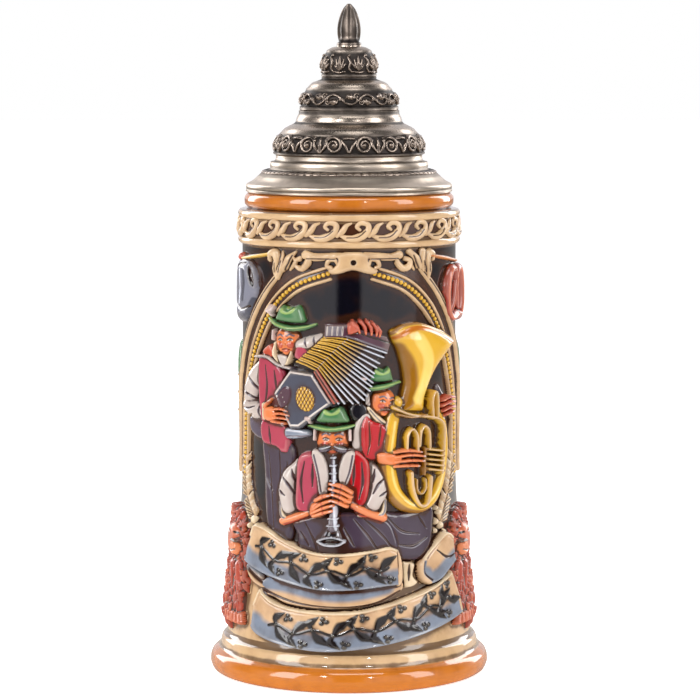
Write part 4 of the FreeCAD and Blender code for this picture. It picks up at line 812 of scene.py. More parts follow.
# %% Ribbons
def garland(sheet, path, pairs, size):
    """A painted stem with pairs of leaves and three-berried tufts, slightly raised."""
    line = smooth(path, parts=24)
    wave = [p + (0, size * 0.16 * math.sin(i / len(line) * pairs * math.pi)) for i, p in enumerate(line)]
    sheet.crease(wave, 0.8, -0.25, "ink", False)
    for i in range(pairs):
        k = int((i + 0.5) / pairs * (len(wave) - 2))
        ahead = wave[k + 1] - wave[k]
        ahead = ahead / np.linalg.norm(ahead)
        side = 1 if i % 2 else -1
        up = np.array([-ahead[1], ahead[0]]) * side
        root = wave[k]
        leaf = [root, root + ahead * size * 0.3 + up * size * 0.5, root + ahead * size * 0.9 + up * size * 0.95]
        sheet.crease(leaf, size * 0.36, -0.22, "ink", widths=[0.3, 1.0, 0.12])
        small = [root, root - ahead * size * 0.1 - up * size * 0.4,
                 root + ahead * size * 0.35 - up * size * 0.8]
        sheet.crease(small, size * 0.3, -0.22, "ink", widths=[0.3, 1.0, 0.15])
        for onward, out in ((0.5, 0.42), (0.76, 0.5), (0.56, 0.68)):
            spot = root + ahead * size * onward - up * size * out
            sheet.crease([spot, spot + (0.01, 0)], size * 0.18, -0.4, "ink", False)


def ribbon(sheet, upper, lower, height, fade=7.0):
    """A band between two edges, its top edge rolled over with a pale painted highlight, and its lower half
    darkened with grey-blue as painted shade.
    """
    upper, lower = smooth(upper), smooth(lower)
    sheet.pad(np.vstack([upper, lower[::-1]]), height, 1.1, "ribbon", curve=False)
    sheet.crease(beside(lower, fade * 0.35), fade * 0.8, 0.0, "sky", False)
    sheet.crease(lower, 1.6, 0.0, "sky", False)
    sheet.crease(beside(upper, -0.7), 0.7, -0.4, "pale", False)
    sheet.crease(beside(lower, 0.8), 0.8, -0.3, None, False)
    sheet.crease(beside(upper, -1.8), 0.6, 0.3, None, False)


low = Sheet("lower_ribbon", (-44, 15), (54, 54))
low.pad([(-40.4, 36), (-38.6, 43.4), (-36, 48), (-27, 49.4), (-14, 47), (-4, 46), (8, 47), (19, 49.6),
         (22.4, 47.2), (20.4, 42.6), (10, 38), (-6, 36.2), (-24, 37), (-33, 39.8)], 3.4, 1.6, "ribbon")
# painted shade: the turned-back end in grey-blue, with a brown line at its fold
low.crease([(-37, 46.6), (-26, 46.6), (-12, 44), (0, 43.6), (14, 46.4)], 4.6, 0.0, "sky")
low.crease([(-37.6, 43.6), (-30, 41), (-18, 38.2), (-2, 37.4), (10, 39), (20, 43.6)], 1.0, 0.5, "umber",
           widths=[1, 0.6, 0.4, 0.6, 1])
lower_top = [(-40.6, 36), (-37.6, 43.2), (-34.6, 41.2), (-29.2, 38.2), (-17.7, 36), (0, 35.8), (10, 37.6),
             (20.8, 40.4), (32.3, 43.8), (42.3, 47.8), (46.4, 49.8)]
lower_foot = [(-40.8, 26), (-39.4, 24.2), (-36, 22.2), (-29.2, 20.2), (-17.7, 18.2), (-6.2, 17.8),
              (9.2, 19.7), (24.6, 22.8), (40, 26.9), (49.6, 29.6), (51.4, 31)]
ribbon(low, lower_top, lower_foot, 4.8, 8)
low.pad([(46.2, 50), (48.6, 44), (51, 36), (51.6, 30.8), (49.4, 30), (47, 40), (44.6, 48.6)], 4.9, 1.0,
        "ribbon")
garland(low, [(-31, 28), (-18, 26.4), (-4, 26.6), (10, 28.4), (24, 32), (36, 36), (43, 38.4)], 11, 7.2)

high = Sheet("upper_ribbon", (-52, 34), (24, 76))
high.pad([(-47.6, 53), (-40, 50.4), (-36, 46.4), (-30, 44.4), (-36, 42.6), (-44, 45), (-48.6, 50)], 3.4,
         1.4, "ribbon")
# painted shade: a brown line at the fold of the turned-back end
high.crease([(-46.6, 50.6), (-40, 47), (-33, 44.6)], 1.2, 0.7, "umber")
upper_top = [(-44.8, 66.4), (-42.4, 71.2), (-35.4, 70.4), (-25.4, 65.6), (-13.8, 61.8), (-2.3, 61.3),
             (9.2, 62.7), (15.6, 63.8), (19.4, 62.4)]
upper_foot = [(-48, 55.4), (-46.4, 53.4), (-37, 50), (-25.4, 47), (-13.8, 44.7), (-4.6, 44.3), (5.4, 45),
              (14, 46), (19.8, 46.4)]
ribbon(high, upper_top, upper_foot, 5.6, 7.4)
high.pad([(19, 62.8), (20.9, 57.6), (21, 49.4), (19.6, 46.2), (18, 47), (18.6, 56)], 6.0, 0.9, "ribbon")
high.crease([(-44, 65), (-46, 60), (-46.6, 55)], 0.6, 0.4, "shadow")
garland(high, [(-40, 61.6), (-29, 57.4), (-17, 53.4), (-5, 52.4), (6, 53.4), (15, 55)], 8, 7.0)

curl = Sheet("ribbon_curl", (19, 42), (54, 70))
ribbon(curl, [(28.6, 54.4), (32.3, 59), (38, 63.6), (43.8, 67), (47.6, 66.6), (50, 64.4)],
       [(29.6, 48.4), (32.6, 45.2), (39.2, 46.4), (45, 50.2), (49, 52.6), (50.6, 53.4)], 4.6, 6)
curl.pad([(28.4, 54), (29.6, 47.6), (33, 45), (35, 46.4), (32, 51), (33.4, 57), (31, 57.4)], 5.0, 1.2, "ribbon")
# painted shade: grey-blue on the inner face of the curl
curl.crease([(31.4, 55.6), (31, 50.6), (34.6, 47.2)], 0.8, 0.7, "sky")
curl.pad([(21.6, 46), (21.4, 55.6), (24, 56.4), (27.6, 55), (26.6, 50), (28.6, 46.6), (25, 44.6)], 3.4, 1.2,
         "pale")
folds(curl, [[(24.6, 55), (24, 48)], [(38, 60), (44, 56), (50, 57)]], 0.7, 0.9, "stain_and_shade")
print(len(Sheet.made), "sheets modelled")

# %% [markdown]
# ## One wash and painted shade over everything
# After the colours the painter brushes a thin brown wash over the relief and wipes it off, so it
# stays in the hollows, and the same brown also stands for painted shade there. A point lies in a
# hollow if it is lower than the average around it. All the sheets go into one map of heights, which
# is blurred twice, finely for scratches and broadly for the gaps between pieces, where the painted
# shade is deepest. Taking the map away from its blurs leaves a number for each point, kept on the
# mesh as an attribute, which costs no texture and shows in any render.

# %% Hollows and crests from the whole relief
MAP_LOW = (-100, 12)
relief_map = np.zeros((int((216 - MAP_LOW[1]) / STEP) + 1, int(200 / STEP) + 1))
for sheet in Sheet.made.values():
    col, row = (int(round((sheet.low[i] - MAP_LOW[i]) / STEP)) for i in (0, 1))
    spot = slice(row, row + sheet.h.shape[0]), slice(col, col + sheet.h.shape[1])
    relief_map[spot] = np.maximum(relief_map[spot], sheet.h)


def blurred(heights, spread):
    """Heights averaged over a soft round patch, spread in mm."""
    rows = np.fft.fftfreq(heights.shape[0])[:, None]
    cols = np.fft.rfftfreq(heights.shape[1])[None]
    pass_ = np.exp(-2 * (math.pi * spread / STEP) ** 2 * (rows**2 + cols**2))
    return np.fft.irfft2(np.fft.rfft2(heights) * pass_, heights.shape)


def hollows(heights):
    """From -1 on a crest to 1 in a hollow."""
    fine, broad = blurred(heights, 0.7) - heights, blurred(heights, 2.4) - heights
    return np.clip(fine / 0.4 + broad / 1.8, -1, 1)


hollow_map = hollows(relief_map)


def looked_up(u, z):
    """The wash at places on the wall, 0 beyond the map."""
    cols = np.round((u - MAP_LOW[0]) / STEP).astype(int)
    rows = np.round((z - MAP_LOW[1]) / STEP).astype(int)
    known = (cols >= 0) & (cols < hollow_map.shape[1]) & (rows >= 0) & (rows < hollow_map.shape[0])
    found = hollow_map[np.clip(rows, 0, hollow_map.shape[0] - 1), np.clip(cols, 0, hollow_map.shape[1] - 1)]
    return np.where(known, found, 0.0)


print("relief map", relief_map.shape, "highest", round(relief_map.max(), 1), "mm")

# %% [markdown]
# ## From arrays to meshes
# Each sheet becomes a closed piece: a fine skin in front, a coarse one behind it in the wall, and a
# rim between them. Only the blocks that carry clay are kept. The wall is straight above and opens
# in a long arc towards the foot, so the wrapping adds the wall's radius at each height.

# %% Wall, wrapping and mesh makers
ART_RADIUS = 48.0  # the radius at which the sheets' width is measured
BODY_RADIUS, FOOT_OF_WALL, BEND = 47.9, 18.3, 111.8
FLARE = 7.4  # how much wider the wall is at its foot
BAND_FOOT, BAND_TOP = 193.5, 209.0  # heights of the ornament band below the rim


def wall(z):
    """The mug's plain outer radius at a height, in mm."""
    sweep = (BEND - FOOT_OF_WALL) ** 2 / (2 * FLARE) + FLARE / 2
    below = np.clip(BEND - np.asarray(z, float), 0, BEND - FOOT_OF_WALL)
    return BODY_RADIUS + sweep - np.sqrt(sweep**2 - below**2)


def on_wall(u, z, h):
    """A point of a sheet, wrapped round the mug."""
    r = wall(z) + h
    return np.stack([r * np.sin(u / ART_RADIUS), -r * np.cos(u / ART_RADIUS), z], -1)


def new_mesh(name, points, *face_sets):
    """A mesh in metres from points in mm and arrays of faces, one array for each number of corners."""
    mesh = bpy.data.meshes.new(name)
    mesh.vertices.add(len(points))
    mesh.vertices.foreach_set("co", np.ascontiguousarray(points, np.float32).ravel() * MM)
    loops = np.concatenate([f.ravel() for f in face_sets if len(f)])
    corners = np.concatenate([np.full(len(f), f.shape[1]) for f in face_sets if len(f)])
    mesh.loops.add(len(loops))
    mesh.loops.foreach_set("vertex_index", loops.astype(np.int32))
    mesh.polygons.add(len(corners))
    mesh.polygons.foreach_set("loop_start", np.concatenate([[0], np.cumsum(corners)[:-1]]).astype(np.int32))
    mesh.update(calc_edges=True)
    mesh.validate()
    mesh.shade_smooth()
    return mesh


def coat(mesh, paint, stain_and_shade):
    """Keeps the painter's colour and the wash, with its painted shade, on the mesh's points."""
    rgba = np.ones((len(mesh.vertices), 4), np.float32)
    rgba[:, :3] = paint
    layer = mesh.attributes.new("paint", "FLOAT_COLOR", "POINT")
    layer.data.foreach_set("color", rgba.ravel())
    layer = mesh.attributes.new("stain_and_shade", "FLOAT", "POINT")
    layer.data.foreach_set("value", (np.ones(len(mesh.vertices)) * stain_and_shade).astype(np.float32))
    return mesh


def sheet_mesh(sheet, place=on_wall, stain_and_shade=None):
    """A closed mesh of what a sheet carries."""
    rows, cols = ((n - 1) // BLOCK for n in sheet.h.shape)
    clay = sheet.h > BURIED + 0.1
    kept = np.zeros((rows, cols), bool)
    for i in range(BLOCK + 1):
        for j in range(BLOCK + 1):
            kept |= clay[i:i + BLOCK * rows:BLOCK, j:j + BLOCK * cols:BLOCK][:rows, :cols]
    for _ in range(8):  # blocks that touch by a corner alone get a third one
        a, b, c, d = kept[:-1, :-1], kept[:-1, 1:], kept[1:, :-1], kept[1:, 1:]
        b |= a & d & ~b & ~c
        a |= b & c & ~a & ~d
    fine = np.repeat(np.repeat(kept, BLOCK, 0), BLOCK, 1)
    used = np.zeros(sheet.h.shape, bool)
    for i in (0, 1):
        for j in (0, 1):
            used[i:i + fine.shape[0], j:j + fine.shape[1]] |= fine
    front = np.full(sheet.h.shape, -1)
    front[used] = np.arange(used.sum())
    behind = np.zeros((rows + 1, cols + 1), bool)
    for i in (0, 1):
        for j in (0, 1):
            behind[i:i + rows, j:j + cols] |= kept
    back = np.full(behind.shape, -1)
    back[behind] = used.sum() + np.arange(behind.sum())
    r, c = np.nonzero(fine)
    skin = np.stack([front[r, c], front[r, c + 1], front[r + 1, c + 1], front[r + 1, c]], -1)
    r, c = np.nonzero(kept)
    lining = np.stack([back[r, c], back[r + 1, c], back[r + 1, c + 1], back[r, c + 1]], -1)
    rim = []
    edged = np.pad(kept, 1)
    for dr, dc, start, step in ((-1, 0, (0, 0), (0, 1)), (0, 1, (0, 1), (1, 0)),
                                (1, 0, (1, 1), (0, -1)), (0, -1, (1, 0), (-1, 0))):
        open_ = kept & ~edged[1 + dr:1 + dr + rows, 1 + dc:1 + dc + cols]
        r, c = np.nonzero(open_)
        r, c = r + start[0], c + start[1]
        chain = [front[BLOCK * r + step[0] * k, BLOCK * c + step[1] * k] for k in range(BLOCK, -1, -1)]
        rim.append(np.stack(chain + [back[r, c], back[r + step[0], c + step[1]]], -1))
    points = place(sheet.u[used], sheet.z[used], sheet.h[used])
    depth = np.full(behind.sum(), 2 * BURIED)
    inner = place(sheet.u[::BLOCK, ::BLOCK][behind], sheet.z[::BLOCK, ::BLOCK][behind], depth)
    mesh = new_mesh(sheet.name, np.vstack([points, inner]), skin, lining, np.vstack(rim))
    if stain_and_shade is None:
        stain_and_shade = looked_up(sheet.u[used], sheet.z[used])
    else:
        stain_and_shade = stain_and_shade[used]
    paint = np.vstack([sheet.paint[used], np.tile(colour("umber"), (behind.sum(), 1))])
    return coat(mesh, paint, np.concatenate([stain_and_shade, np.ones(behind.sum())]))


def lathe(name, runs, around, piece=0.8, shift=None):
    """Turns runs of (radius, height) points, from axis to axis, into a closed mesh.

    Each run is one smooth curve, and runs meet at corners. shift moves radii by angle and height.
    """
    line = [np.array(runs[0][:1], float)]
    for run in runs:
        run = smooth(run, parts=12)
        length = np.concatenate([[0], np.cumsum(np.linalg.norm(np.diff(run, axis=0), axis=1))])
        count = max(1, int(round(length[-1] / piece)))
        at = np.linspace(0, length[-1], count + 1)[1:]
        line.append(np.stack([np.interp(at, length, run[:, 0]), np.interp(at, length, run[:, 1])], -1))
    line = np.vstack(line)
    middle = line[1:-1]
    angle = np.linspace(0, 2 * math.pi, around, endpoint=False)
    r, z = np.repeat(middle[:, :1], around, 1), np.repeat(middle[:, 1:], around, 1)
    a = np.repeat(angle[None], len(middle), 0)
    if shift is not None:
        r = r + shift(a, z, r)
    ring = np.stack([r * np.sin(a), -r * np.cos(a), z], -1).reshape(-1, 3)
    points = np.vstack([ring, [[0, 0, line[0, 1]], [0, 0, line[-1, 1]]]])
    grid = np.arange(len(ring)).reshape(len(middle), around)
    right = np.roll(grid, -1, axis=1)
    sides = np.stack([grid[:-1], right[:-1], right[1:], grid[1:]], -1).reshape(-1, 4)
    first = np.stack([np.full(around, len(ring)), right[0], grid[0]], -1)
    last = np.stack([np.full(around, len(ring) + 1), grid[-1], right[-1]], -1)
    mesh = new_mesh(name, points, sides, first, last)
    mesh.set_sharp_from_angle(angle=math.radians(38))
    return mesh, np.append(a.ravel(), [0, 0]), points


def settle(mesh, body, slot, material, *nodes):
    """Puts a finished mesh in the scene as a piece that rides on a body and stands for CAD nodes."""
    piece = bpy.data.objects.new(mesh.name, mesh)
    bpy.context.scene.collection.objects.link(piece)
    mesh.materials.clear()
    mesh.materials.append(material)
    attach(piece, body)
    if nodes:
        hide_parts(*nodes)
    return piece


print("wall radius at foot, middle and top:", [round(float(wall(z)), 1) for z in (20, 80, 180)])

# %% [markdown]
# ## Two finishes as node groups
# The glaze and the pewter each cover many pieces, so each is a shader group. The glaze group mixes
# the painter's colour with the wash, which also stands for painted shade, where the hollows are,
# breaks both with noise, and gives a roughness and a slight waviness. The pewter group darkens
# hollows to a patina and brightens crests, and adds the fine rings that a lathe leaves.

# %% Helpers for node trees
def node(tree, kind, inputs=None, **settings):
    """Adds a node, sets its properties, and sets or links its inputs by name or place."""
    made = tree.nodes.new(kind)
    for key, value in settings.items():
        setattr(made, key, value)
    for key, value in (inputs or {}).items():
        if isinstance(value, bpy.types.NodeSocket):
            tree.links.new(value, made.inputs[key])
        else:
            made.inputs[key].default_value = value
    return made


def group(name, kind, takes, gives):
    """A node group with its sockets, and its input and output nodes."""
    tree = bpy.data.node_groups.new(name, kind)
    for label, form, value in takes:
        socket = tree.interface.new_socket(label, in_out="INPUT", socket_type=form)
        if value is not None:
            socket.default_value = value
    for label, form in gives:
        tree.interface.new_socket(label, in_out="OUTPUT", socket_type=form)
    return tree, tree.nodes.new("NodeGroupInput").outputs, tree.nodes.new("NodeGroupOutput").inputs


def sums(tree, operation, a, b=0.5, clamp=False):
    """A Math node's result."""
    return node(tree, "ShaderNodeMath", {0: a, 1: b}, operation=operation, use_clamp=clamp).outputs[0]


def blend(tree, share, a, b, kind="MIX"):
    """Two colours mixed."""
    return node(tree, "ShaderNodeMix", {0: share, 6: a, 7: b}, data_type="RGBA", blend_type=kind).outputs[2]


def ramp(tree, value, low, high, start=0.0, end=1.0):
    """A soft step from start to end as value goes from low to high."""
    return node(tree, "ShaderNodeMapRange", {0: value, 1: low, 2: high, 3: start, 4: end},
                interpolation_type="SMOOTHSTEP").outputs[0]


# %% [markdown]
# ### The glaze
# Real glaze is clear glass over paint, so the shader adds a thin coat above the painted colour.

# %% Glaze over painted clay
COLOUR, NUMBER, PLACE = "NodeSocketColor", "NodeSocketFloat", "NodeSocketVector"
glaze, take, give = group(
    "painted_glaze", "ShaderNodeTree",
    [("Place", PLACE, None), ("Paint", COLOUR, (0.5, 0.4, 0.3, 1)), ("Hollow", NUMBER, 0.0),
     ("Wash And Shade Colour", COLOUR, (0.07, 0.03, 0.015, 1)), ("Wash And Shade Strength", NUMBER, 0.85),
     ("Mottle", NUMBER, 0.25), ("Gloss", NUMBER, 0.16)],
    [("Colour", COLOUR), ("Roughness", NUMBER), ("Height", NUMBER)])
cloud = node(glaze, "ShaderNodeTexNoise", {0: take["Place"], "Scale": 130.0, "Detail": 3.0}).outputs[0]
grain = node(glaze, "ShaderNodeTexNoise", {0: take["Place"], "Scale": 1100.0, "Detail": 2.0}).outputs[0]
broken = sums(glaze, "MULTIPLY", sums(glaze, "SUBTRACT", cloud, 0.5), 0.7)
hollow = sums(glaze, "ADD", take["Hollow"], broken)
# the wash pools in the hollows, and this brown there is painted shade as well
pooled_wash_and_shade = sums(glaze, "MULTIPLY", ramp(glaze, hollow, 0.02, 0.48), take["Wash And Shade Strength"])
worn = ramp(glaze, hollow, -0.35, -1.0, 0.0, 0.07)
patchy = sums(glaze, "MULTIPLY", ramp(glaze, cloud, 0.3, 0.72), take["Mottle"])
toned = blend(glaze, patchy, take["Paint"], blend(glaze, 0.55, take["Paint"], (0.35, 0.2, 0.1, 1), "MULTIPLY"))
washed_and_shaded = blend(glaze, pooled_wash_and_shade, toned, take["Wash And Shade Colour"])
lit = blend(glaze, worn, washed_and_shaded, (1.0, 0.86, 0.66, 1), "SCREEN")
glaze.links.new(lit, give["Colour"])
glaze.links.new(sums(glaze, "ADD", take["Gloss"], ramp(glaze, grain, 0.35, 0.75, 0.0, 0.05)), give["Roughness"])
glaze.links.new(sums(glaze, "ADD", cloud, sums(glaze, "MULTIPLY", grain, 0.16)), give["Height"])
print("glaze group has", len(glaze.nodes), "nodes")


def glazed(name, strength, mottle, gloss, stain_and_shade="stain_and_shade", wave=0.00025, coat_weight=0.5):
    """A glazed finish that reads the paint and the wash with its painted shade kept on the mesh."""
    material = bpy.data.materials.new(name)
    material.use_nodes = True
    tree = material.node_tree
    shader = tree.nodes["Principled BSDF"]
    place = node(tree, "ShaderNodeTexCoord").outputs["Object"]
    paint = node(tree, "ShaderNodeAttribute", attribute_name="paint").outputs["Color"]
    hollow = node(tree, "ShaderNodeAttribute", attribute_name="stain_and_shade").outputs["Fac"]
    made = node(tree, "ShaderNodeGroup", node_tree=glaze)
    for key, value in (("Place", place), ("Paint", paint), ("Hollow", hollow)):
        tree.links.new(value, made.inputs[key])
    made.inputs["Wash And Shade Colour"].default_value = (*colour(stain_and_shade), 1)
    made.inputs["Wash And Shade Strength"].default_value = strength
    made.inputs["Mottle"].default_value = mottle
    made.inputs["Gloss"].default_value = gloss
    bump = node(tree, "ShaderNodeBump", {"Strength": 0.35, "Distance": wave, "Height": made.outputs["Height"]})
    tree.links.new(made.outputs["Colour"], shader.inputs["Base Color"])
    tree.links.new(made.outputs["Roughness"], shader.inputs["Roughness"])
    tree.links.new(bump.outputs[0], shader.inputs["Normal"])
    shader.inputs["Coat Weight"].default_value = coat_weight
    shader.inputs["Coat Roughness"].default_value = 0.06
    return material


ground_glaze = glazed("ground_glaze", 0.75, 0.3, 0.05)
cream_glaze = glazed("cream_glaze", 1.0, 0.65, 0.16)
figure_glaze = glazed("figure_glaze", 0.85, 0.25, 0.12)
beast_glaze = glazed("beast_glaze", 0.9, 0.5, 0.2)
gold_glaze = glazed("gold_glaze", 0.8, 0.2, 0.1)
handle_glaze = glazed("handle_glaze", 0.85, 0.6, 0.12)

# %% [markdown]
# ### The pewter
# Pewter is dull where it is left alone and bright where hands polish it, so the patina follows the
# hollows. A lathe leaves rings, which are noise read along the radius and the height only.

# %% Pewter with a dark patina
pewter_group, take, give = group(
    "aged_pewter", "ShaderNodeTree",
    [("Place", PLACE, None), ("Hollow", NUMBER, 0.0), ("Bright", COLOUR, (0.6, 0.57, 0.53, 1)),
     ("Patina", COLOUR, (0.04, 0.034, 0.031, 1)), ("Patina Strength", NUMBER, 0.9),
     ("Rings", NUMBER, 0.5), ("Polish", NUMBER, 0.25)],
    [("Colour", COLOUR), ("Roughness", NUMBER), ("Height", NUMBER)])
parts_ = node(pewter_group, "ShaderNodeSeparateXYZ", {0: take["Place"]}).outputs
flat = node(pewter_group, "ShaderNodeCombineXYZ", {0: parts_[0], 1: parts_[1]}).outputs[0]
radius = node(pewter_group, "ShaderNodeVectorMath", {0: flat}, operation="LENGTH").outputs["Value"]
turned = node(pewter_group, "ShaderNodeCombineXYZ", {0: radius, 1: parts_[2]}).outputs[0]
rings = node(pewter_group, "ShaderNodeTexNoise", {0: turned, "Scale": 2600.0, "Detail": 2.0}).outputs[0]
cloud = node(pewter_group, "ShaderNodeTexNoise", {0: take["Place"], "Scale": 160.0, "Detail": 4.0}).outputs[0]
specks = node(pewter_group, "ShaderNodeTexNoise", {0: take["Place"], "Scale": 1500.0, "Detail": 2.0}).outputs[0]
hollow = sums(pewter_group, "ADD", take["Hollow"], sums(pewter_group, "MULTIPLY",
              sums(pewter_group, "SUBTRACT", cloud, 0.5), 0.5))
dark = sums(pewter_group, "MULTIPLY", ramp(pewter_group, hollow, -0.05, 0.5), take["Patina Strength"])
dull = ramp(pewter_group, cloud, 0.35, 0.75, 0.0, 0.3)
metal = blend(pewter_group, dull, take["Bright"], blend(pewter_group, 0.6, take["Bright"], take["Patina"]))
pewter_group.links.new(blend(pewter_group, dark, metal, take["Patina"]), give["Colour"])
rough = sums(pewter_group, "ADD", take["Polish"], ramp(pewter_group, specks, 0.3, 0.8, 0.0, 0.06))
rough = sums(pewter_group, "ADD", rough, sums(pewter_group, "MULTIPLY", dark, 0.22))
pewter_group.links.new(rough, give["Roughness"])
lines = sums(pewter_group, "MULTIPLY", rings, take["Rings"])
pewter_group.links.new(sums(pewter_group, "ADD", lines, sums(pewter_group, "MULTIPLY", cloud, 0.3)),
                       give["Height"])


def pewtered(name, rings, polish, strength=0.95, bright=(0.54, 0.485, 0.43, 1), metallic=1.0):
    """A pewter finish."""
    material = bpy.data.materials.new(name)
    material.use_nodes = True
    tree = material.node_tree
    shader = tree.nodes["Principled BSDF"]
    place = node(tree, "ShaderNodeTexCoord").outputs["Object"]
    hollow = node(tree, "ShaderNodeAttribute", attribute_name="stain_and_shade").outputs["Fac"]
    made = node(tree, "ShaderNodeGroup", node_tree=pewter_group)
    tree.links.new(place, made.inputs["Place"])
    tree.links.new(hollow, made.inputs["Hollow"])
    made.inputs["Bright"].default_value = bright
    made.inputs["Patina Strength"].default_value = strength
    made.inputs["Rings"].default_value = rings
    made.inputs["Polish"].default_value = polish
    bump = node(tree, "ShaderNodeBump", {"Strength": 0.3, "Distance": 0.0001, "Height": made.outputs["Height"]})
    tree.links.new(made.outputs["Colour"], shader.inputs["Base Color"])
    tree.links.new(made.outputs["Roughness"], shader.inputs["Roughness"])
    tree.links.new(bump.outputs[0], shader.inputs["Normal"])
    shader.inputs["Metallic"].default_value = metallic
    return material


satin_pewter = pewtered("satin_pewter", 0.5, 0.3, 0.6, (0.58, 0.49, 0.40, 1))
bright_pewter = pewtered("bright_pewter", 0.5, 0.24, 1.0, (0.46, 0.385, 0.32, 1))
cast_pewter = pewtered("cast_pewter", 0.1, 0.2, 1.0, (0.29, 0.235, 0.195, 1))
pin_steel = pewtered("pin_steel", 0.8, 0.22, 0.5, (0.68, 0.69, 0.72, 1))
print(len(bpy.data.materials), "materials")

# %% [markdown]
# ## Wrapping the relief
# The finished sheets go round the wall. Each stands for the CAD solid of the same name.

# %% Relief pieces in place
FINISH = {
    "cream_relief": (cream_glaze, ["arch_frame", "cartouche", "left_swag", "right_swag", "lower_ribbon",
                                   "ribbon_curl", "upper_ribbon"]),
    "coloured_relief": (figure_glaze, ["left_tower", "right_tower", "hanging_mug", "left_player",
                                       "right_player", "middle_player", "squeezebox", "pipe"]),
    "beast_relief": (beast_glaze, ["pretzel", "left_lion", "right_lion"]),
    "gold_relief": (gold_glaze, ["big_horn"]),
}
for slot_name, (material, names) in FINISH.items():
    for name in names:
        piece = settle(sheet_mesh(Sheet.made[name]), "stein", slot_name, material, name)
        print(name, len(piece.data.polygons), "faces")

# %% [markdown]
# ## The mug itself
# A potter turns or casts the mug before any relief goes on. It is one closed profile: foot, step,
# long concave flare, band with a ridge at each side, rim, and then down inside to the floor. Each
# run of the profile is a smooth curve and the runs meet at corners, so the glaze catches the light
# where it should. The ground is painted by height: honey foot and rim, cream below, navy above.

# %% Turned mug
WALL_RUN = [(float(wall(z)), z) for z in (18.3, 32, 48, 66, 86, 111.8, 130)]
WALL_RUN += [(BODY_RADIUS, 160), (BODY_RADIUS, BAND_FOOT)]
FOOT = 62.9  # radius of the foot's widest part
mug_runs = [
    [(0, 3), (49.6, 3)], [(49.6, 3), (49.7, 0.6), (50.4, 0)], [(50.4, 0), (58.8, 0)],
    [(58.8, 0), (61.6, 1.1), (FOOT, 4.1)], [(FOOT, 4.1), (62.7, 6.6), (61.6, 9), (59.4, 10.5)],
    [(59.4, 10.5), (58.6, 11.2), (58.3, 12.4), (57.9, 14.2)], [(57.9, 14.2), (57.4, 15.8), (56.2, 16.6)],
    [(56.2, 16.6), (55.7, 17.3), (55.3, 18.3)], WALL_RUN,
    [(BODY_RADIUS, BAND_FOOT), (49.3, 194), (49.8, 195.2), (49.5, 196.4), (48.6, 197.1)],
    [(48.6, 197.1), (48.6, 205.4)],
    [(48.6, 205.4), (49.5, 206.1), (49.8, 207.3), (49.4, 208.5), (48.2, BAND_TOP)],
    [(48.2, BAND_TOP), (45.3, 209.4)],
    [(45.3, 209.4), (46.6, 210.8), (46.9, 212.8), (46.6, 214.7), (45.3, 216)],
    [(45.3, 216), (40, 216), (39.2, 215.4)], [(39.2, 215.4), (39.2, 212)], [(39.2, 212), (41.9, 209.2)],
    [(41.9, 209.2), (41.9, 110), (41.9, 15)], [(41.9, 15), (40.4, 10.6), (36, 9)], [(36, 9), (0, 9)],
]
mug, angle, points = lathe("mug_body", mug_runs, 288, 1.0)
radius, height = np.hypot(points[:, 0], points[:, 1]), points[:, 2]
outside = radius > 43
around_u = (np.mod(angle + math.pi, 2 * math.pi) - math.pi) * ART_RADIUS
ground = np.tile(colour("navy"), (len(points), 1))
wavy = 61 + 2.5 * np.sin(angle * 5) + 1.4 * np.sin(angle * 13 + 1)
ground[outside & (height < wavy)] = colour("cream")
for low_, high_, paint in ((-1, 10.9, "honey"), (193.4, 216.5, "cream"), (197.3, 205.3, "umber"),
                           (209.2, 216.5, "honey")):
    ground[outside & (height > low_) & (height < high_)] = colour(paint)
ground[~outside & (height > 3.5)] = colour("pale")
# The ground takes the wash from the relief, darker beside the raised pieces as wash and painted shade, and the
# steps get more of it as wash and painted shade in their corners, while the ridges are worn lighter.
stain_and_shade = np.where(outside & (height < 193) & (height > 18), looked_up(around_u, height), 0.0)
for level, half, strength in ((11.4, 0.8, 0.4), (17.4, 1.2, 1.0), (197.4, 0.7, 0.6), (205.2, 0.7, 0.6),
                              (209.2, 0.8, 0.7), (193.6, 0.8, 0.7), (195.2, 0.9, -0.5), (207.3, 0.9, -0.5)):
    stain_and_shade += np.where(outside & (np.abs(height - level) < half), strength, 0)  # steps dark, ridges worn
settle(coat(mug, ground, stain_and_shade), "stein", "stoneware", ground_glaze, "mug_body")
print("mug", len(mug.polygons), "faces")

# %% [markdown]
# ## Pieces that repeat round the axis
# The running leaf below the rim, the beads and the cast ornament of the lid all repeat round the
# axis. One Geometry Nodes tree places any tile the given number of times. Beads on the arch follow
# a curve, so they get a second tree, which spaces balls evenly along it.

# %% Trees for rings and for rows
ring_tree, take, give = group(
    "repeat_round_axis", "GeometryNodeTree",
    [("Tile", "NodeSocketGeometry", None), ("Count", "NodeSocketInt", 12), ("Turn", NUMBER, 0.0),
     ("Finish", "NodeSocketMaterial", None)], [("Ring", "NodeSocketGeometry")])
places = node(ring_tree, "GeometryNodePoints", {"Count": take["Count"]}).outputs[0]
index = node(ring_tree, "GeometryNodeInputIndex").outputs[0]
share = sums(ring_tree, "DIVIDE", index, take["Count"])
turn = sums(ring_tree, "MULTIPLY_ADD", share, 2 * math.pi)
ring_tree.links.new(take["Turn"], turn.node.inputs[2])
spin = node(ring_tree, "ShaderNodeCombineXYZ", {2: turn}).outputs[0]
copies = node(ring_tree, "GeometryNodeInstanceOnPoints",
              {"Points": places, "Instance": take["Tile"], "Rotation": spin}).outputs[0]
solid = node(ring_tree, "GeometryNodeRealizeInstances", {0: copies}).outputs[0]
ring_tree.links.new(node(ring_tree, "GeometryNodeSetMaterial",
                         {"Geometry": solid, "Material": take["Finish"]}).outputs[0], give["Ring"])

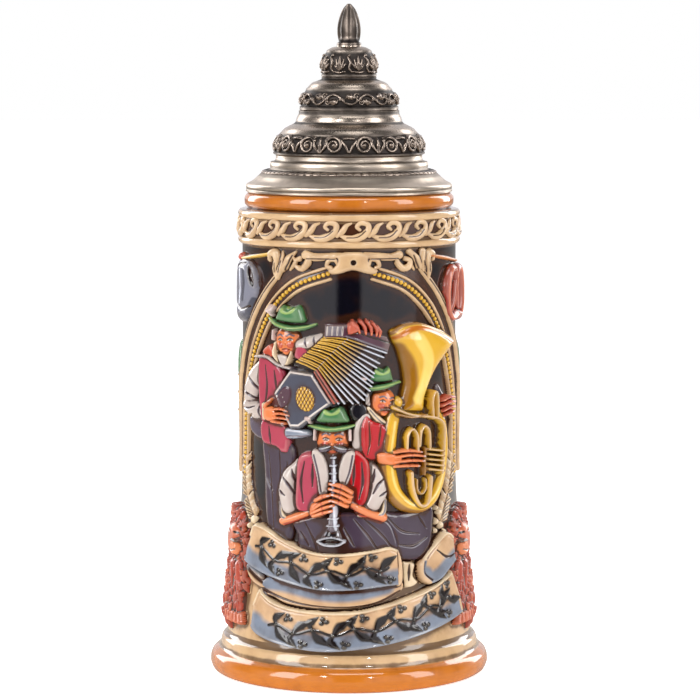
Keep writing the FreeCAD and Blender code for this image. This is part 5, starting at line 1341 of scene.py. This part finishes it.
row_tree, take, give = group(
    "beads_on_line", "GeometryNodeTree",
    [("Line", "NodeSocketGeometry", None), ("Spacing", NUMBER, 0.002), ("Bead Radius", NUMBER, 0.001),
     ("Finish", "NodeSocketMaterial", None)], [("Beads", "NodeSocketGeometry")])
line = node(row_tree, "GeometryNodeMeshToCurve", {"Mesh": take["Line"]}).outputs[0]
spaced = node(row_tree, "GeometryNodeResampleCurve", {"Curve": line, "Length": take["Spacing"]},
              mode="LENGTH")
bead = node(row_tree, "GeometryNodeMeshUVSphere",
            {"Segments": 12, "Rings": 8, "Radius": take["Bead Radius"]}).outputs[0]
bead = node(row_tree, "GeometryNodeSetShadeSmooth", {"Geometry": bead}).outputs[0]
copies = node(row_tree, "GeometryNodeInstanceOnPoints",
              {"Points": spaced.outputs[0], "Instance": bead}).outputs[0]
solid = node(row_tree, "GeometryNodeRealizeInstances", {0: copies}).outputs[0]
row_tree.links.new(node(row_tree, "GeometryNodeSetMaterial",
                        {"Geometry": solid, "Material": take["Finish"]}).outputs[0], give["Beads"])


def grown(mesh, tree, **values):
    """The plain mesh that a tree makes of a mesh, with the tree's inputs set by name."""
    holder = bpy.data.objects.new(mesh.name, mesh)
    bpy.context.scene.collection.objects.link(holder)
    modifier = holder.modifiers.new(tree.name, "NODES")
    modifier.node_group = tree
    for item in tree.interface.items_tree:
        label = item.name.replace(" ", "_")
        if item.item_type == "SOCKET" and item.in_out == "INPUT" and label in values:
            modifier[item.identifier] = values[label]
    bpy.context.view_layer.update()
    evaluated = holder.evaluated_get(bpy.context.evaluated_depsgraph_get())
    result = bpy.data.meshes.new_from_object(evaluated)
    result.name = mesh.name
    holder.modifiers.clear()
    bpy.data.objects.remove(holder)
    return result


print("trees:", ring_tree.name, "and", row_tree.name)

# %% [markdown]
# ### The running leaf
# One tile holds a curling wave and the leaf that leaves it, and it overlaps the next one a little.

# %% Running leaf below the rim
LEAVES = 22
PITCH = 2 * math.pi * ART_RADIUS / LEAVES
leaf = Sheet("running_leaf", (-3, 196), (PITCH + 4, 206.6))
leaf.roll([(-1.4, 199.4), (2.4, 198.1), (6.6, 198.9), (10, 201.4), (10, 204.2), (7.2, 205),
           (5.4, 203.4), (6.6, 202)], [0.8, 1.5, 1.8, 1.9, 1.6, 1.3, 1.1, 0.8], 2.1, "cream")
leaf.roll([(10.6, 199.4), (13, 201.6), (14.6, 203.8), (16.6, 204.8)], [1.0, 1.5, 1.2, 0.5], 1.9, "cream")
leaf.crease([(1, 198.6), (5.6, 199), (9, 201.6)], 0.3, 0.35, "stain_and_shade")
tile_stain_and_shade = hollows(np.maximum(leaf.h, 0))


def on_radius(radius):
    """Wraps a sheet round a plain cylinder of that radius."""
    def place(u, z, h):
        return np.stack([(radius + h) * np.sin(u / ART_RADIUS), -(radius + h) * np.cos(u / ART_RADIUS), z], -1)
    return place


tile = sheet_mesh(leaf, on_radius(48.6), tile_stain_and_shade)
tile.name = "leaf_band"
leaf_ring = grown(tile, ring_tree, Count=LEAVES, Turn=-2.0 / ART_RADIUS, Finish=cream_glaze)
settle(leaf_ring, "stein", "cream_relief", cream_glaze, "leaf_band")
print(LEAVES, "leaves", len(leaf_ring.polygons), "faces")

# %% [markdown]
# ### The beads
# The same line that drew the arch carries the balls, so they sit on its strip.

# %% Beads on the arch
for name, path in zip(("left_beads", "right_beads"), bead_paths):
    line = smooth(path)
    where = on_wall(line[:, 0], line[:, 1], np.full(len(line), 1.15))
    thread = bpy.data.meshes.new(name)
    thread.from_pydata(where * MM, [(i, i + 1) for i in range(len(where) - 1)], [])
    beads = grown(thread, row_tree, Spacing=2.15 * MM, Bead_Radius=0.98 * MM, Finish=gold_glaze)
    # More wash towards the wall darkens each bead where it meets the wall, as wash and painted shade, and its
    # crest wears lighter.
    co = np.array([v.co for v in beads.vertices]) / MM
    out = np.hypot(co[:, 0], co[:, 1]) - wall(co[:, 2]) - 1.15
    settle(coat(beads, colour("gold"), np.clip(-out * 0.9 + 0.1, -1, 1)), "stein", "gold_relief", gold_glaze)
    print(name, len(beads.polygons), "faces")

# %% [markdown]
# ## The handle and the thumb lift
# Both are made by moving a section along a line. The handle is a flat oval that follows the CAD
# centre line: out from the wall, round a bend, down a long curve and back in. Moulded leaves run
# down its back. The thumb lift is a fluted shell, and the same maker sweeps a thin fluted section.

# %% Swept forms
def swept(name, centres, outs, sections):
    """A closed mesh through rings. Each centre is (y, z), outs is the direction of the section's height."""
    rings_, count = [], len(sections[0])
    for (y, z), (dy, dz), ring in zip(centres, outs, sections):
        ring = np.asarray(ring)
        rings_.append(np.stack([ring[:, 0], y + ring[:, 1] * dy, z + ring[:, 1] * dz], -1))
    points = np.vstack(rings_ + [rings_[0].mean(axis=0), rings_[-1].mean(axis=0)])
    grid = np.arange(count * len(rings_)).reshape(len(rings_), count)
    side = np.roll(grid, -1, axis=1)
    quads = np.stack([grid[:-1], side[:-1], side[1:], grid[1:]], -1).reshape(-1, 4)
    n = count * len(rings_)
    first = np.stack([np.full(count, n), side[0], grid[0]], -1)
    last = np.stack([np.full(count, n + 1), grid[-1], side[-1]], -1)
    mesh = new_mesh(name, points, quads, np.vstack([first, last]))
    work = bmesh.new()
    work.from_mesh(mesh)
    bmesh.ops.recalc_face_normals(work, faces=work.faces)
    work.to_mesh(mesh)
    work.free()
    mesh.shade_smooth()
    return mesh


line = [(44.9, 196.0), (62, 196.0)]
line += [(62 + 28 * math.sin(a), 168 + 28 * math.cos(a)) for a in np.linspace(0, math.pi / 2, 24)[1:]]
line += [(20 + 70 * math.cos(a), 168 - 70 * math.sin(a)) for a in np.linspace(0, math.radians(38), 20)[1:]]
line += [(44.9, 86.1)]
line = np.array(line)
length = np.concatenate([[0], np.cumsum(np.linalg.norm(np.diff(line, axis=0), axis=1))])
stations = np.linspace(0, length[-1], 210)
centres = np.stack([np.interp(stations, length, line[:, i]) for i in (0, 1)], -1)
for _ in range(6):  # rounds the joints between straight and curved parts
    centres[1:-1] = (centres[:-2] + 2 * centres[1:-1] + centres[2:]) / 4
ahead = np.gradient(centres, axis=0)
ahead /= np.linalg.norm(ahead, axis=1)[:, None]
outs = np.stack([-ahead[:, 1], ahead[:, 0]], -1)
turns = np.linspace(0, 2 * math.pi, 72, endpoint=False)
sections, dip = [], []
for s in stations:
    flat_x = np.sign(np.cos(turns)) * np.abs(np.cos(turns)) ** 0.8 * 9.7
    flat_y = np.sign(np.sin(turns)) * np.abs(np.sin(turns)) ** 0.8 * 6.5
    back_ = np.clip(np.sin(turns), 0, 1) ** 0.5
    beat = (s % 17) / 17
    vein = np.exp(-(flat_x / 0.9) ** 2)
    edge = 1.5 + 5.6 * math.sin(math.pi * min(1, beat * 1.15)) ** 0.8
    leaf_ = 1 / (1 + np.exp((np.abs(flat_x) - edge) * 2.2))
    ribs = 0.5 + 0.5 * np.cos((beat * 17 - np.abs(flat_x) * 0.9) * 2.2)
    rise = (leaf_ * (0.35 + 0.3 * ribs) - 0.45 * vein * leaf_) * back_ - 0.25 * (1 - leaf_) * back_
    fade = np.clip((s - 20) / 6, 0, 1) * np.clip((length[-1] - 16 - s) / 6, 0, 1)
    sections.append(np.stack([flat_x, flat_y + rise * fade * 0.9], -1))
    dip.append((0.75 * (1 - leaf_) + 0.35 * (1 - ribs) * leaf_ + vein * leaf_ * 0.6 - 0.35) * back_ * fade)
handle = swept("handle", centres, outs, sections)
handle_paint = np.tile(colour("honey") * 0.55 + colour("umber") * 0.25, (len(handle.vertices), 1))
settle(coat(handle, handle_paint, np.append(np.concatenate(dip), [0, 0])), "stein", "handle_glaze",
       handle_glaze, "handle")
print("handle", round(length[-1]), "mm along its line")

shell_low, shell_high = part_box("thumb_lift")
foot_z, top_z = shell_low.z / MM, shell_high.z / MM
lean = math.tan(math.radians(6))
rows = np.linspace(0, 1, 90)
centres = [(53.8 + lean * (s - 0.02) * (top_z - foot_z) + 0.2, foot_z + 0.4 + s * (top_z - foot_z - 0.8))
           for s in rows]
sections, dip = [], []
for s in rows:
    spread = np.interp(s, [0, 0.12, 0.3, 0.45, 0.62, 0.8, 0.93, 1], [3.6, 3.6, 4.6, 7.2, 9.3, 9.6, 7.4, 1.5])
    thick = np.interp(s, [0, 0.3, 0.7, 0.95, 1], [1.7, 1.75, 1.7, 1.1, 0.4])
    fan = np.clip((s - 0.24) / 0.12, 0, 1)
    flute = np.cos(np.arcsin(np.clip(np.cos(turns), -1, 1)) * 9) * fan
    knot = 0.3 * math.exp(-((s - 0.2) / 0.03) ** 2)
    body_ = np.abs(np.sin(turns)) ** 0.55 * np.sign(np.sin(turns))
    sections.append(np.stack([np.cos(turns) * (spread + knot * 2),
                              body_ * (thick * (0.86 + 0.14 * flute) + knot * 0.3)], -1))
    dip.append(-flute * 0.7 + 0.1 - knot)
lift = swept("thumb_lift", centres, [(math.cos(0.105), -math.sin(0.105))] * len(rows), sections)
settle(coat(lift, 0.6, np.append(np.concatenate(dip), [0, 0])), "lid", "pewter", cast_pewter, "thumb_lift")
print("thumb lift", round(top_z - foot_z, 1), "mm tall")

# %% [markdown]
# ## The lid in tiers
# The lid is spun and cast pewter. A satin brim with a bright edge carries a row of oblong beads.
# Above stand three domes, each with a band of cast ornament round its skirt: scrolls, a vine, and
# leaves. A fluted bud closes it. The domes are turned like the mug, and the ornament is pressed on
# small sheets that repeat round the axis.

# %% Turned pewter
def turned_pewter(name, runs, material, darker=(), around=192, piece=0.7, shift=None, *nodes):
    """A turned piece of the lid. darker lists (low, high, strength) of heights with more patina."""
    mesh, angle, points = lathe(name, runs, around, piece, shift)
    stain_and_shade = np.zeros(len(points))
    for low_, high_, strength in darker:
        middle, half = (low_ + high_) / 2, (high_ - low_) / 2
        stain_and_shade += strength * np.clip(1.4 - np.abs(points[:, 2] - middle) / half, 0, 1)
    settle(coat(mesh, 0.6, stain_and_shade), "lid", "pewter", material, *(nodes or (name,)))
    print(name, len(mesh.polygons), "faces")
    return mesh


turned_pewter("lid_flange", [
    [(0, 214), (32, 213.4)], [(32, 213.4), (36.5, 212.2), (38, 213.2)], [(38, 213.2), (38, 216.2)],
    [(38, 216.2), (45.6, 216.2)], [(45.6, 216.2), (46.3, 216.6), (46.3, 217.4)],
    [(46.3, 217.4), (45.9, 217.9), (46.3, 218.4)], [(46.3, 218.4), (46.3, 219.4), (45.7, 220.1)],
    [(45.7, 220.1), (43, 221.6), (39.6, 224.6)], [(39.6, 224.6), (39.2, 224.9), (38.2, 224.9)],
    [(38.2, 224.9), (37.2, 225), (36.6, 226)], [(36.6, 226), (35.6, 226.5), (35.3, 227.2)],
    [(35.3, 227.2), (35.5, 228.4), (35.1, 229.8)], [(35.1, 229.8), (33.4, 230.2), (32.8, 231.2)],
    [(32.8, 231.2), (32.8, 232.6), (32.4, 233)], [(32.4, 233), (0, 233)]], satin_pewter,
    [(223.6, 227.2, 1.0), (229.4, 231, 0.5), (217.5, 218.2, 0.6)], 256)
turned_pewter("lower_tier", [
    [(0, 233), (33.4, 233)], [(33.4, 233), (34, 233.3), (34, 234)], [(34, 234), (33.4, 234.5)],
    [(33.4, 234.5), (33.3, 237), (32.9, 238.8), (32.1, 240.4), (31, 241.7)],
    [(31, 241.7), (31, 242.4), (30.5, 242.9)], [(30.5, 242.9), (28.9, 244.6), (26.4, 246)],
    [(26.4, 246), (24.6, 246.8)], [(24.6, 246.8), (23.9, 247.6), (23.4, 249.4)],
    [(23.4, 249.4), (22.5, 251.2), (22.5, 252.6)], [(22.5, 252.6), (0, 252.6)]], bright_pewter,
    [(233.8, 241.9, 0.9), (246.6, 247.8, 0.5), (250.6, 252.8, 0.4)])
turned_pewter("middle_tier", [
    [(0, 252.6), (21.6, 252.6)], [(21.6, 252.6), (22.1, 253), (22.1, 254.2)], [(22.1, 254.2), (21.5, 254.8)],
    [(21.5, 254.8), (21.4, 257.2), (20.7, 259.4), (19.4, 261.4)], [(19.4, 261.4), (19.2, 262.2), (18.6, 262.7)],
    [(18.6, 262.7), (16.6, 264.8), (13.6, 266)], [(13.6, 266), (12.3, 266.5), (12.3, 267.3)],
    [(12.3, 267.3), (0, 267.3)]], bright_pewter, [(254, 261.6, 0.9), (265.8, 267.5, 0.5)], 160)
turned_pewter("upper_tier", [
    [(0, 267.3), (11.9, 267.3)], [(11.9, 267.3), (12.3, 267.6), (12.3, 268.6)], [(12.3, 268.6), (11.8, 269)],
    [(11.8, 269), (12, 271), (12.2, 273.2)], [(12.2, 273.2), (11.6, 276), (10.2, 278.4)],
    [(10.2, 278.4), (10, 279.2), (9.4, 279.6)], [(9.4, 279.6), (7.6, 280.6), (5.6, 281)],
    [(5.6, 281), (5.5, 281.5)], [(5.5, 281.5), (0, 281.5)]], bright_pewter, [(268.6, 278.4, 0.85)], 120)
FLUTES = 9


def fluted(a, z, r):
    """Flutes that fade out at the tip."""
    return -0.75 * np.abs(np.sin(a * FLUTES / 2)) ** 0.7 * np.clip((z - 283.4) / 2, 0, 1) * np.clip(r / 4, 0, 1)


turned_pewter("finial", [
    [(0, 281.5), (5.2, 281.5)], [(5.2, 281.5), (5.5, 281.8), (5.3, 282.6)], [(5.3, 282.6), (4.5, 283)],
    [(4.5, 283), (5, 285), (5.3, 287.6), (5.1, 290.5), (4.3, 294), (2.9, 297.4), (1.1, 299.6)],
    [(1.1, 299.6), (0.6, 299.95), (0, 300)]], cast_pewter,
    [(280, 302, 0.3), (282.8, 284, 0.4)], 108, 0.5, fluted)

# %% [markdown]
# ### Cast ornament
# Cast relief is soft and shallow, so it is drawn with thin rolls on small sheets, one tile for each
# tier, and wrapped to the tier's own curve.

# %% Cast ornament of the lid
def tier_wrap(profile, share):
    """Wraps a sheet round a tier. profile gives radii by height, share the tile's arc over its width."""
    radii = np.array(profile, float)

    def place(u, z, h):
        r = np.interp(z, radii[:, 1], radii[:, 0]) + h
        return np.stack([r * np.sin(u * share), -r * np.cos(u * share), z], -1)
    return place


def cast_ring(name, sheet, profile, count, turn=0.0):
    """Repeats one tile of ornament round a tier and settles it on the lid."""
    wide = sheet.pitch
    sheet.h = np.where(sheet.h > 0, sheet.h * 1.3, sheet.h)
    dips = hollows(np.maximum(sheet.h, 0))
    tile = sheet_mesh(sheet, tier_wrap(profile, 2 * math.pi / count / wide), dips)
    ring = grown(tile, ring_tree, Count=count, Turn=turn, Finish=cast_pewter)
    ring.name = name
    settle(ring, "lid", "pewter", cast_pewter)
    print(name, count, "tiles", len(ring.polygons), "faces")


def spiral(u, z, size, turns_, start, way=1):
    """A line that winds in towards (u, z)."""
    at = np.linspace(0, 1, 22)
    a = math.radians(start) + way * at * turns_ * 2 * math.pi
    r = size * (1 - at * 0.86)
    return [(u + r_ * math.cos(a_), z + r_ * math.sin(a_)) for r_, a_ in zip(r, a)]


count = 8
scroll = Sheet("scrolls", (-1, 233), (28, 243.4), 0.18)
scroll.pitch = 2 * math.pi * 33 / count
mid = scroll.pitch / 2
for way in (-1, 1):
    scroll.roll(spiral(mid + way * 6.2, 238, 3.9, 1.9, 90 + way * 60, -way), [0.85, 0.66, 0.5], 1.0)
    scroll.dot(mid + way * 6.2, 238, 1.0, 1.25)
    for points, widths, high_ in (
            ([(0.4, 234.8), (2.4, 237.4), (3.4, 240.8)], [0.5, 0.9, 0.4], 1.1),
            ([(9.4, 240.4), (11.2, 238), (12.6, 235)], [0.4, 0.8, 0.5], 1.0),
            ([(3, 241.2), (5.4, 241.6), (8.4, 240.9)], [0.4, 0.6, 0.4], 0.9),
            ([(10.6, 240.9), (12.4, 241.2)], [0.5, 0.7], 0.9)):
        scroll.roll([(mid + way * u, z) for u, z in points], widths, high_)
scroll.roll([(mid, 235), (mid, 238), (mid, 241)], [0.6, 1.1, 0.4], 1.2)
cast_ring("lower_scrolls", scroll, [(33.6, 233), (33.35, 236), (32.95, 238.6), (32.1, 240.4),
                                    (31.0, 241.8), (30.4, 243.4)], count)

count = 9
vine = Sheet("vine", (-2, 253.4), (17, 262.6), 0.16)
vine.pitch = 2 * math.pi * 21 / count
wave_line = [(u, 257.8 + 2.2 * math.sin(2 * math.pi * u / vine.pitch))
             for u in np.linspace(-1, vine.pitch + 1, 14)]
vine.roll(wave_line, 0.6, 0.9)
for k, (u, z) in enumerate(((vine.pitch * 0.25, 256), (vine.pitch * 0.75, 259.6))):
    way = 1 if k else -1
    for spread in (-58, -24, 12, 48):
        a = math.radians(90 * -way + spread)
        vine.roll([(u, z + way * 0.4), (u + 1.7 * math.cos(a), z + 1.3 * math.sin(a)),
                   (u + 2.8 * math.cos(a + 0.3), z + 1.8 * math.sin(a + 0.3))], [0.6, 1.05, 0.35], 1.15)
    for i in range(3):
        vine.dot(u + vine.pitch * 0.25 + (i - 1) * 0.9, z - way * (1.6 + 0.5 * (i % 2)), 0.6, 1.15)
    vine.roll(spiral(u + way * 2.7, 257.9 + way * 1.3, 1.3, 1.2, 40, way), [0.4, 0.3], 0.75)
cast_ring("middle_vine", vine, [(21.5, 253.6), (21.4, 256.8), (20.7, 259.4), (19.4, 261.4),
                                (18.7, 262.6)], count, 0.2)

count = 9
sprays = Sheet("sprays", (-2, 268), (10, 279.6), 0.16)
sprays.pitch = 2 * math.pi * 12 / count
mid = sprays.pitch / 2
for spread, size in ((-56, 3.2), (-28, 3.9), (0, 4.6), (28, 3.9), (56, 3.2)):
    a = math.radians(90 + spread)
    tip = (mid + size * math.cos(a), 271 + size * 1.25 * math.sin(a))
    sprays.roll([(mid, 270.6), (mid + (tip[0] - mid) * 0.6, 271 + (tip[1] - 271) * 0.5), tip],
                [0.4, 0.8, 0.35], 1.0)
sprays.roll([(-0.8, 276.6), (0.6, 274), (0, 271.4), (1.2, 269.8)], [0.35, 0.7, 0.6, 0.4], 0.8)
sprays.dot(0.1, 277.2, 0.7, 0.9)
sprays.roll([(mid - 2.4, 269.9), (mid, 269.5), (mid + 2.4, 269.9)], [0.4, 0.6, 0.4], 0.8)
cast_ring("upper_sprays", sprays, [(11.8, 268.8), (12.1, 273.2), (11.6, 276), (10.2, 278.4),
                                   (9.6, 279.6)], count)

# %% Oblong beads on the brim
count = 66
bead = Sheet("brim_bead", (-3, 222.6), (3, 227.4), 0.2)
bead.pitch = 2 * math.pi * 38.4 / count
bead.roll([(-0.9, 225), (0.9, 225)], 1.1, 1.3, base=0.0)
cast_ring("brim_beads", bead, [(37.7, 222), (37.7, 228)], count)

# %% [markdown]
# ## The hinge
# The hinge's small parts keep the shape they have in CAD, which is exact. They only need a finish.

# %% Finishes for the CAD parts of the hinge
for name, material in (("finial_screw", pin_steel), ("hinge_pin", pin_steel), ("pin_caps", bright_pewter),
                       ("hinge_block", satin_pewter), ("lid_hinge_leaf", satin_pewter),
                       ("handle_collar", satin_pewter)):
    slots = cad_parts[name].data.materials
    if slots:
        for i in range(len(slots)):
            slots[i] = material
    else:
        slots.append(material)
print("hinge finished")

# %% [markdown]
# ## Floor, light and camera
# Glaze and pewter show mainly what they reflect. The room is a pattern of directions: bright at both
# sides and at the far end, dark in front, above and in a strip between, which gives the navy glaze
# its deep core and the pewter its contrast. Soft panels light it, and two small lamps put sparks on
# the wet-looking figures. The camera stands level with the lid and looks down slightly.

# %% Stage
floor_mesh = bpy.data.meshes.new("floor")
floor_mesh.from_pydata([(-6, -0.45, 0), (6, -0.45, 0), (6, 9, 0), (-6, 9, 0)], [], [(0, 1, 2, 3)])
floor = bpy.data.objects.new("floor", floor_mesh)
bpy.context.scene.collection.objects.link(floor)
pale_floor = bpy.data.materials.new("pale_floor")
pale_floor.use_nodes = True
tree = pale_floor.node_tree
shader = tree.nodes["Principled BSDF"]
fine = node(tree, "ShaderNodeTexNoise", {0: node(tree, "ShaderNodeTexCoord").outputs["Object"], "Scale": 30.0})
tone = blend(tree, fine.outputs[0], (0.9, 0.9, 0.9, 1), (0.93, 0.93, 0.93, 1))
mirrored_ray = node(tree, "ShaderNodeLightPath").outputs["Is Glossy Ray"]
tree.links.new(blend(tree, mirrored_ray, tone, (0.4, 0.37, 0.33, 1)), shader.inputs["Base Color"])
tree.links.new(sums(tree, "SUBTRACT", 0.68, sums(tree, "MULTIPLY", mirrored_ray, 0.58)),
               shader.inputs["Emission Strength"])
shader.inputs["Roughness"].default_value = 0.6
shader.inputs["Specular IOR Level"].default_value = 0.1
shader.inputs["Emission Color"].default_value = (1, 1, 1, 1)
floor_mesh.materials.append(pale_floor)

world = bpy.data.worlds.new("white_room")
bpy.context.scene.world = world
world.use_nodes = True
tree = world.node_tree
tree.nodes.clear()
seen = node(tree, "ShaderNodeBackground", {0: (1, 1, 1, 1), 1: 1.0}).outputs[0]
around = node(tree, "ShaderNodeTexCoord").outputs["Generated"]
x, y, z = node(tree, "ShaderNodeSeparateXYZ", {0: around}).outputs
aside = ramp(tree, sums(tree, "ABSOLUTE", x), 0.17, 0.27)
below_ceiling = ramp(tree, z, 0.5, 0.72, 1.0, 0.12)
beside_front = ramp(tree, y, -0.3, 0.05, 1.0, 0.2)
panels = sums(tree, "MULTIPLY", sums(tree, "MULTIPLY", aside, below_ceiling), 0.75)
panels = sums(tree, "MULTIPLY", panels, beside_front)
rear = ramp(tree, y, 0.15, 0.6)
room = sums(tree, "MAXIMUM", panels, sums(tree, "MULTIPLY", rear, 0.85))
room = sums(tree, "ADD", room, 0.03)
lights_up = node(tree, "ShaderNodeBackground", {0: (0.985, 0.965, 1, 1), 1: room}).outputs[0]
ray = node(tree, "ShaderNodeLightPath").outputs["Is Camera Ray"]
mixed = node(tree, "ShaderNodeMixShader", {0: ray, 1: lights_up, 2: seen}).outputs[0]
node(tree, "ShaderNodeOutputWorld", {0: mixed})


def panel(name, place, aim, size, power, tint=(1, 1, 1)):
    """A soft rectangular light that looks at a point."""
    lamp = bpy.data.lights.new(name, "AREA")
    lamp.shape, lamp.size, lamp.size_y = "RECTANGLE", *size
    lamp.energy, lamp.color = power, tint
    holder = bpy.data.objects.new(name, lamp)
    bpy.context.scene.collection.objects.link(holder)
    holder.location = place
    holder.rotation_euler = (Vector(aim) - Vector(place)).to_track_quat("-Z", "Y").to_euler()


panel("left_panel", (-1.1, -0.75, 0.75), (0, 0, 0.14), (0.6, 1.2), 13)
panel("right_panel", (1.2, -0.6, 0.7), (0, 0, 0.14), (0.5, 1.2), 9)
panel("left_spark", (-0.5, -1.2, 0.95), (0, 0, 0.12), (0.09, 0.09), 2.2)
panel("right_spark", (0.42, -1.25, 0.8), (0, 0, 0.12), (0.07, 0.07), 1.5)
panel("top_panel", (0.1, -0.5, 1.4), (0, 0, 0.2), (0.8, 0.5), 6)
panel("back_left", (-0.9, 0.9, 0.6), (0, 0, 0.15), (0.5, 1.0), 7)
panel("back_right", (0.9, 0.9, 0.6), (0, 0, 0.15), (0.5, 1.0), 7)

# %% Camera
camera = bpy.data.cameras.new("camera")
camera.lens, camera.sensor_width = 158.3, 36
camera.shift_x = 0.0014
camera_object = bpy.data.objects.new("camera", camera)
bpy.context.scene.collection.objects.link(camera_object)
camera_object.location = (0, -1.381, 0.286)
camera_object.rotation_euler = (math.radians(90 - 5.84), 0, 0)
bpy.context.scene.camera = camera_object
bpy.context.scene.view_settings.view_transform = "Standard"

# %% [markdown]
# ## The last update
# The view layer is brought up to date once more. The visual model has to stay inside
# the CAD box.

# %% Finish
bpy.context.view_layer.update()
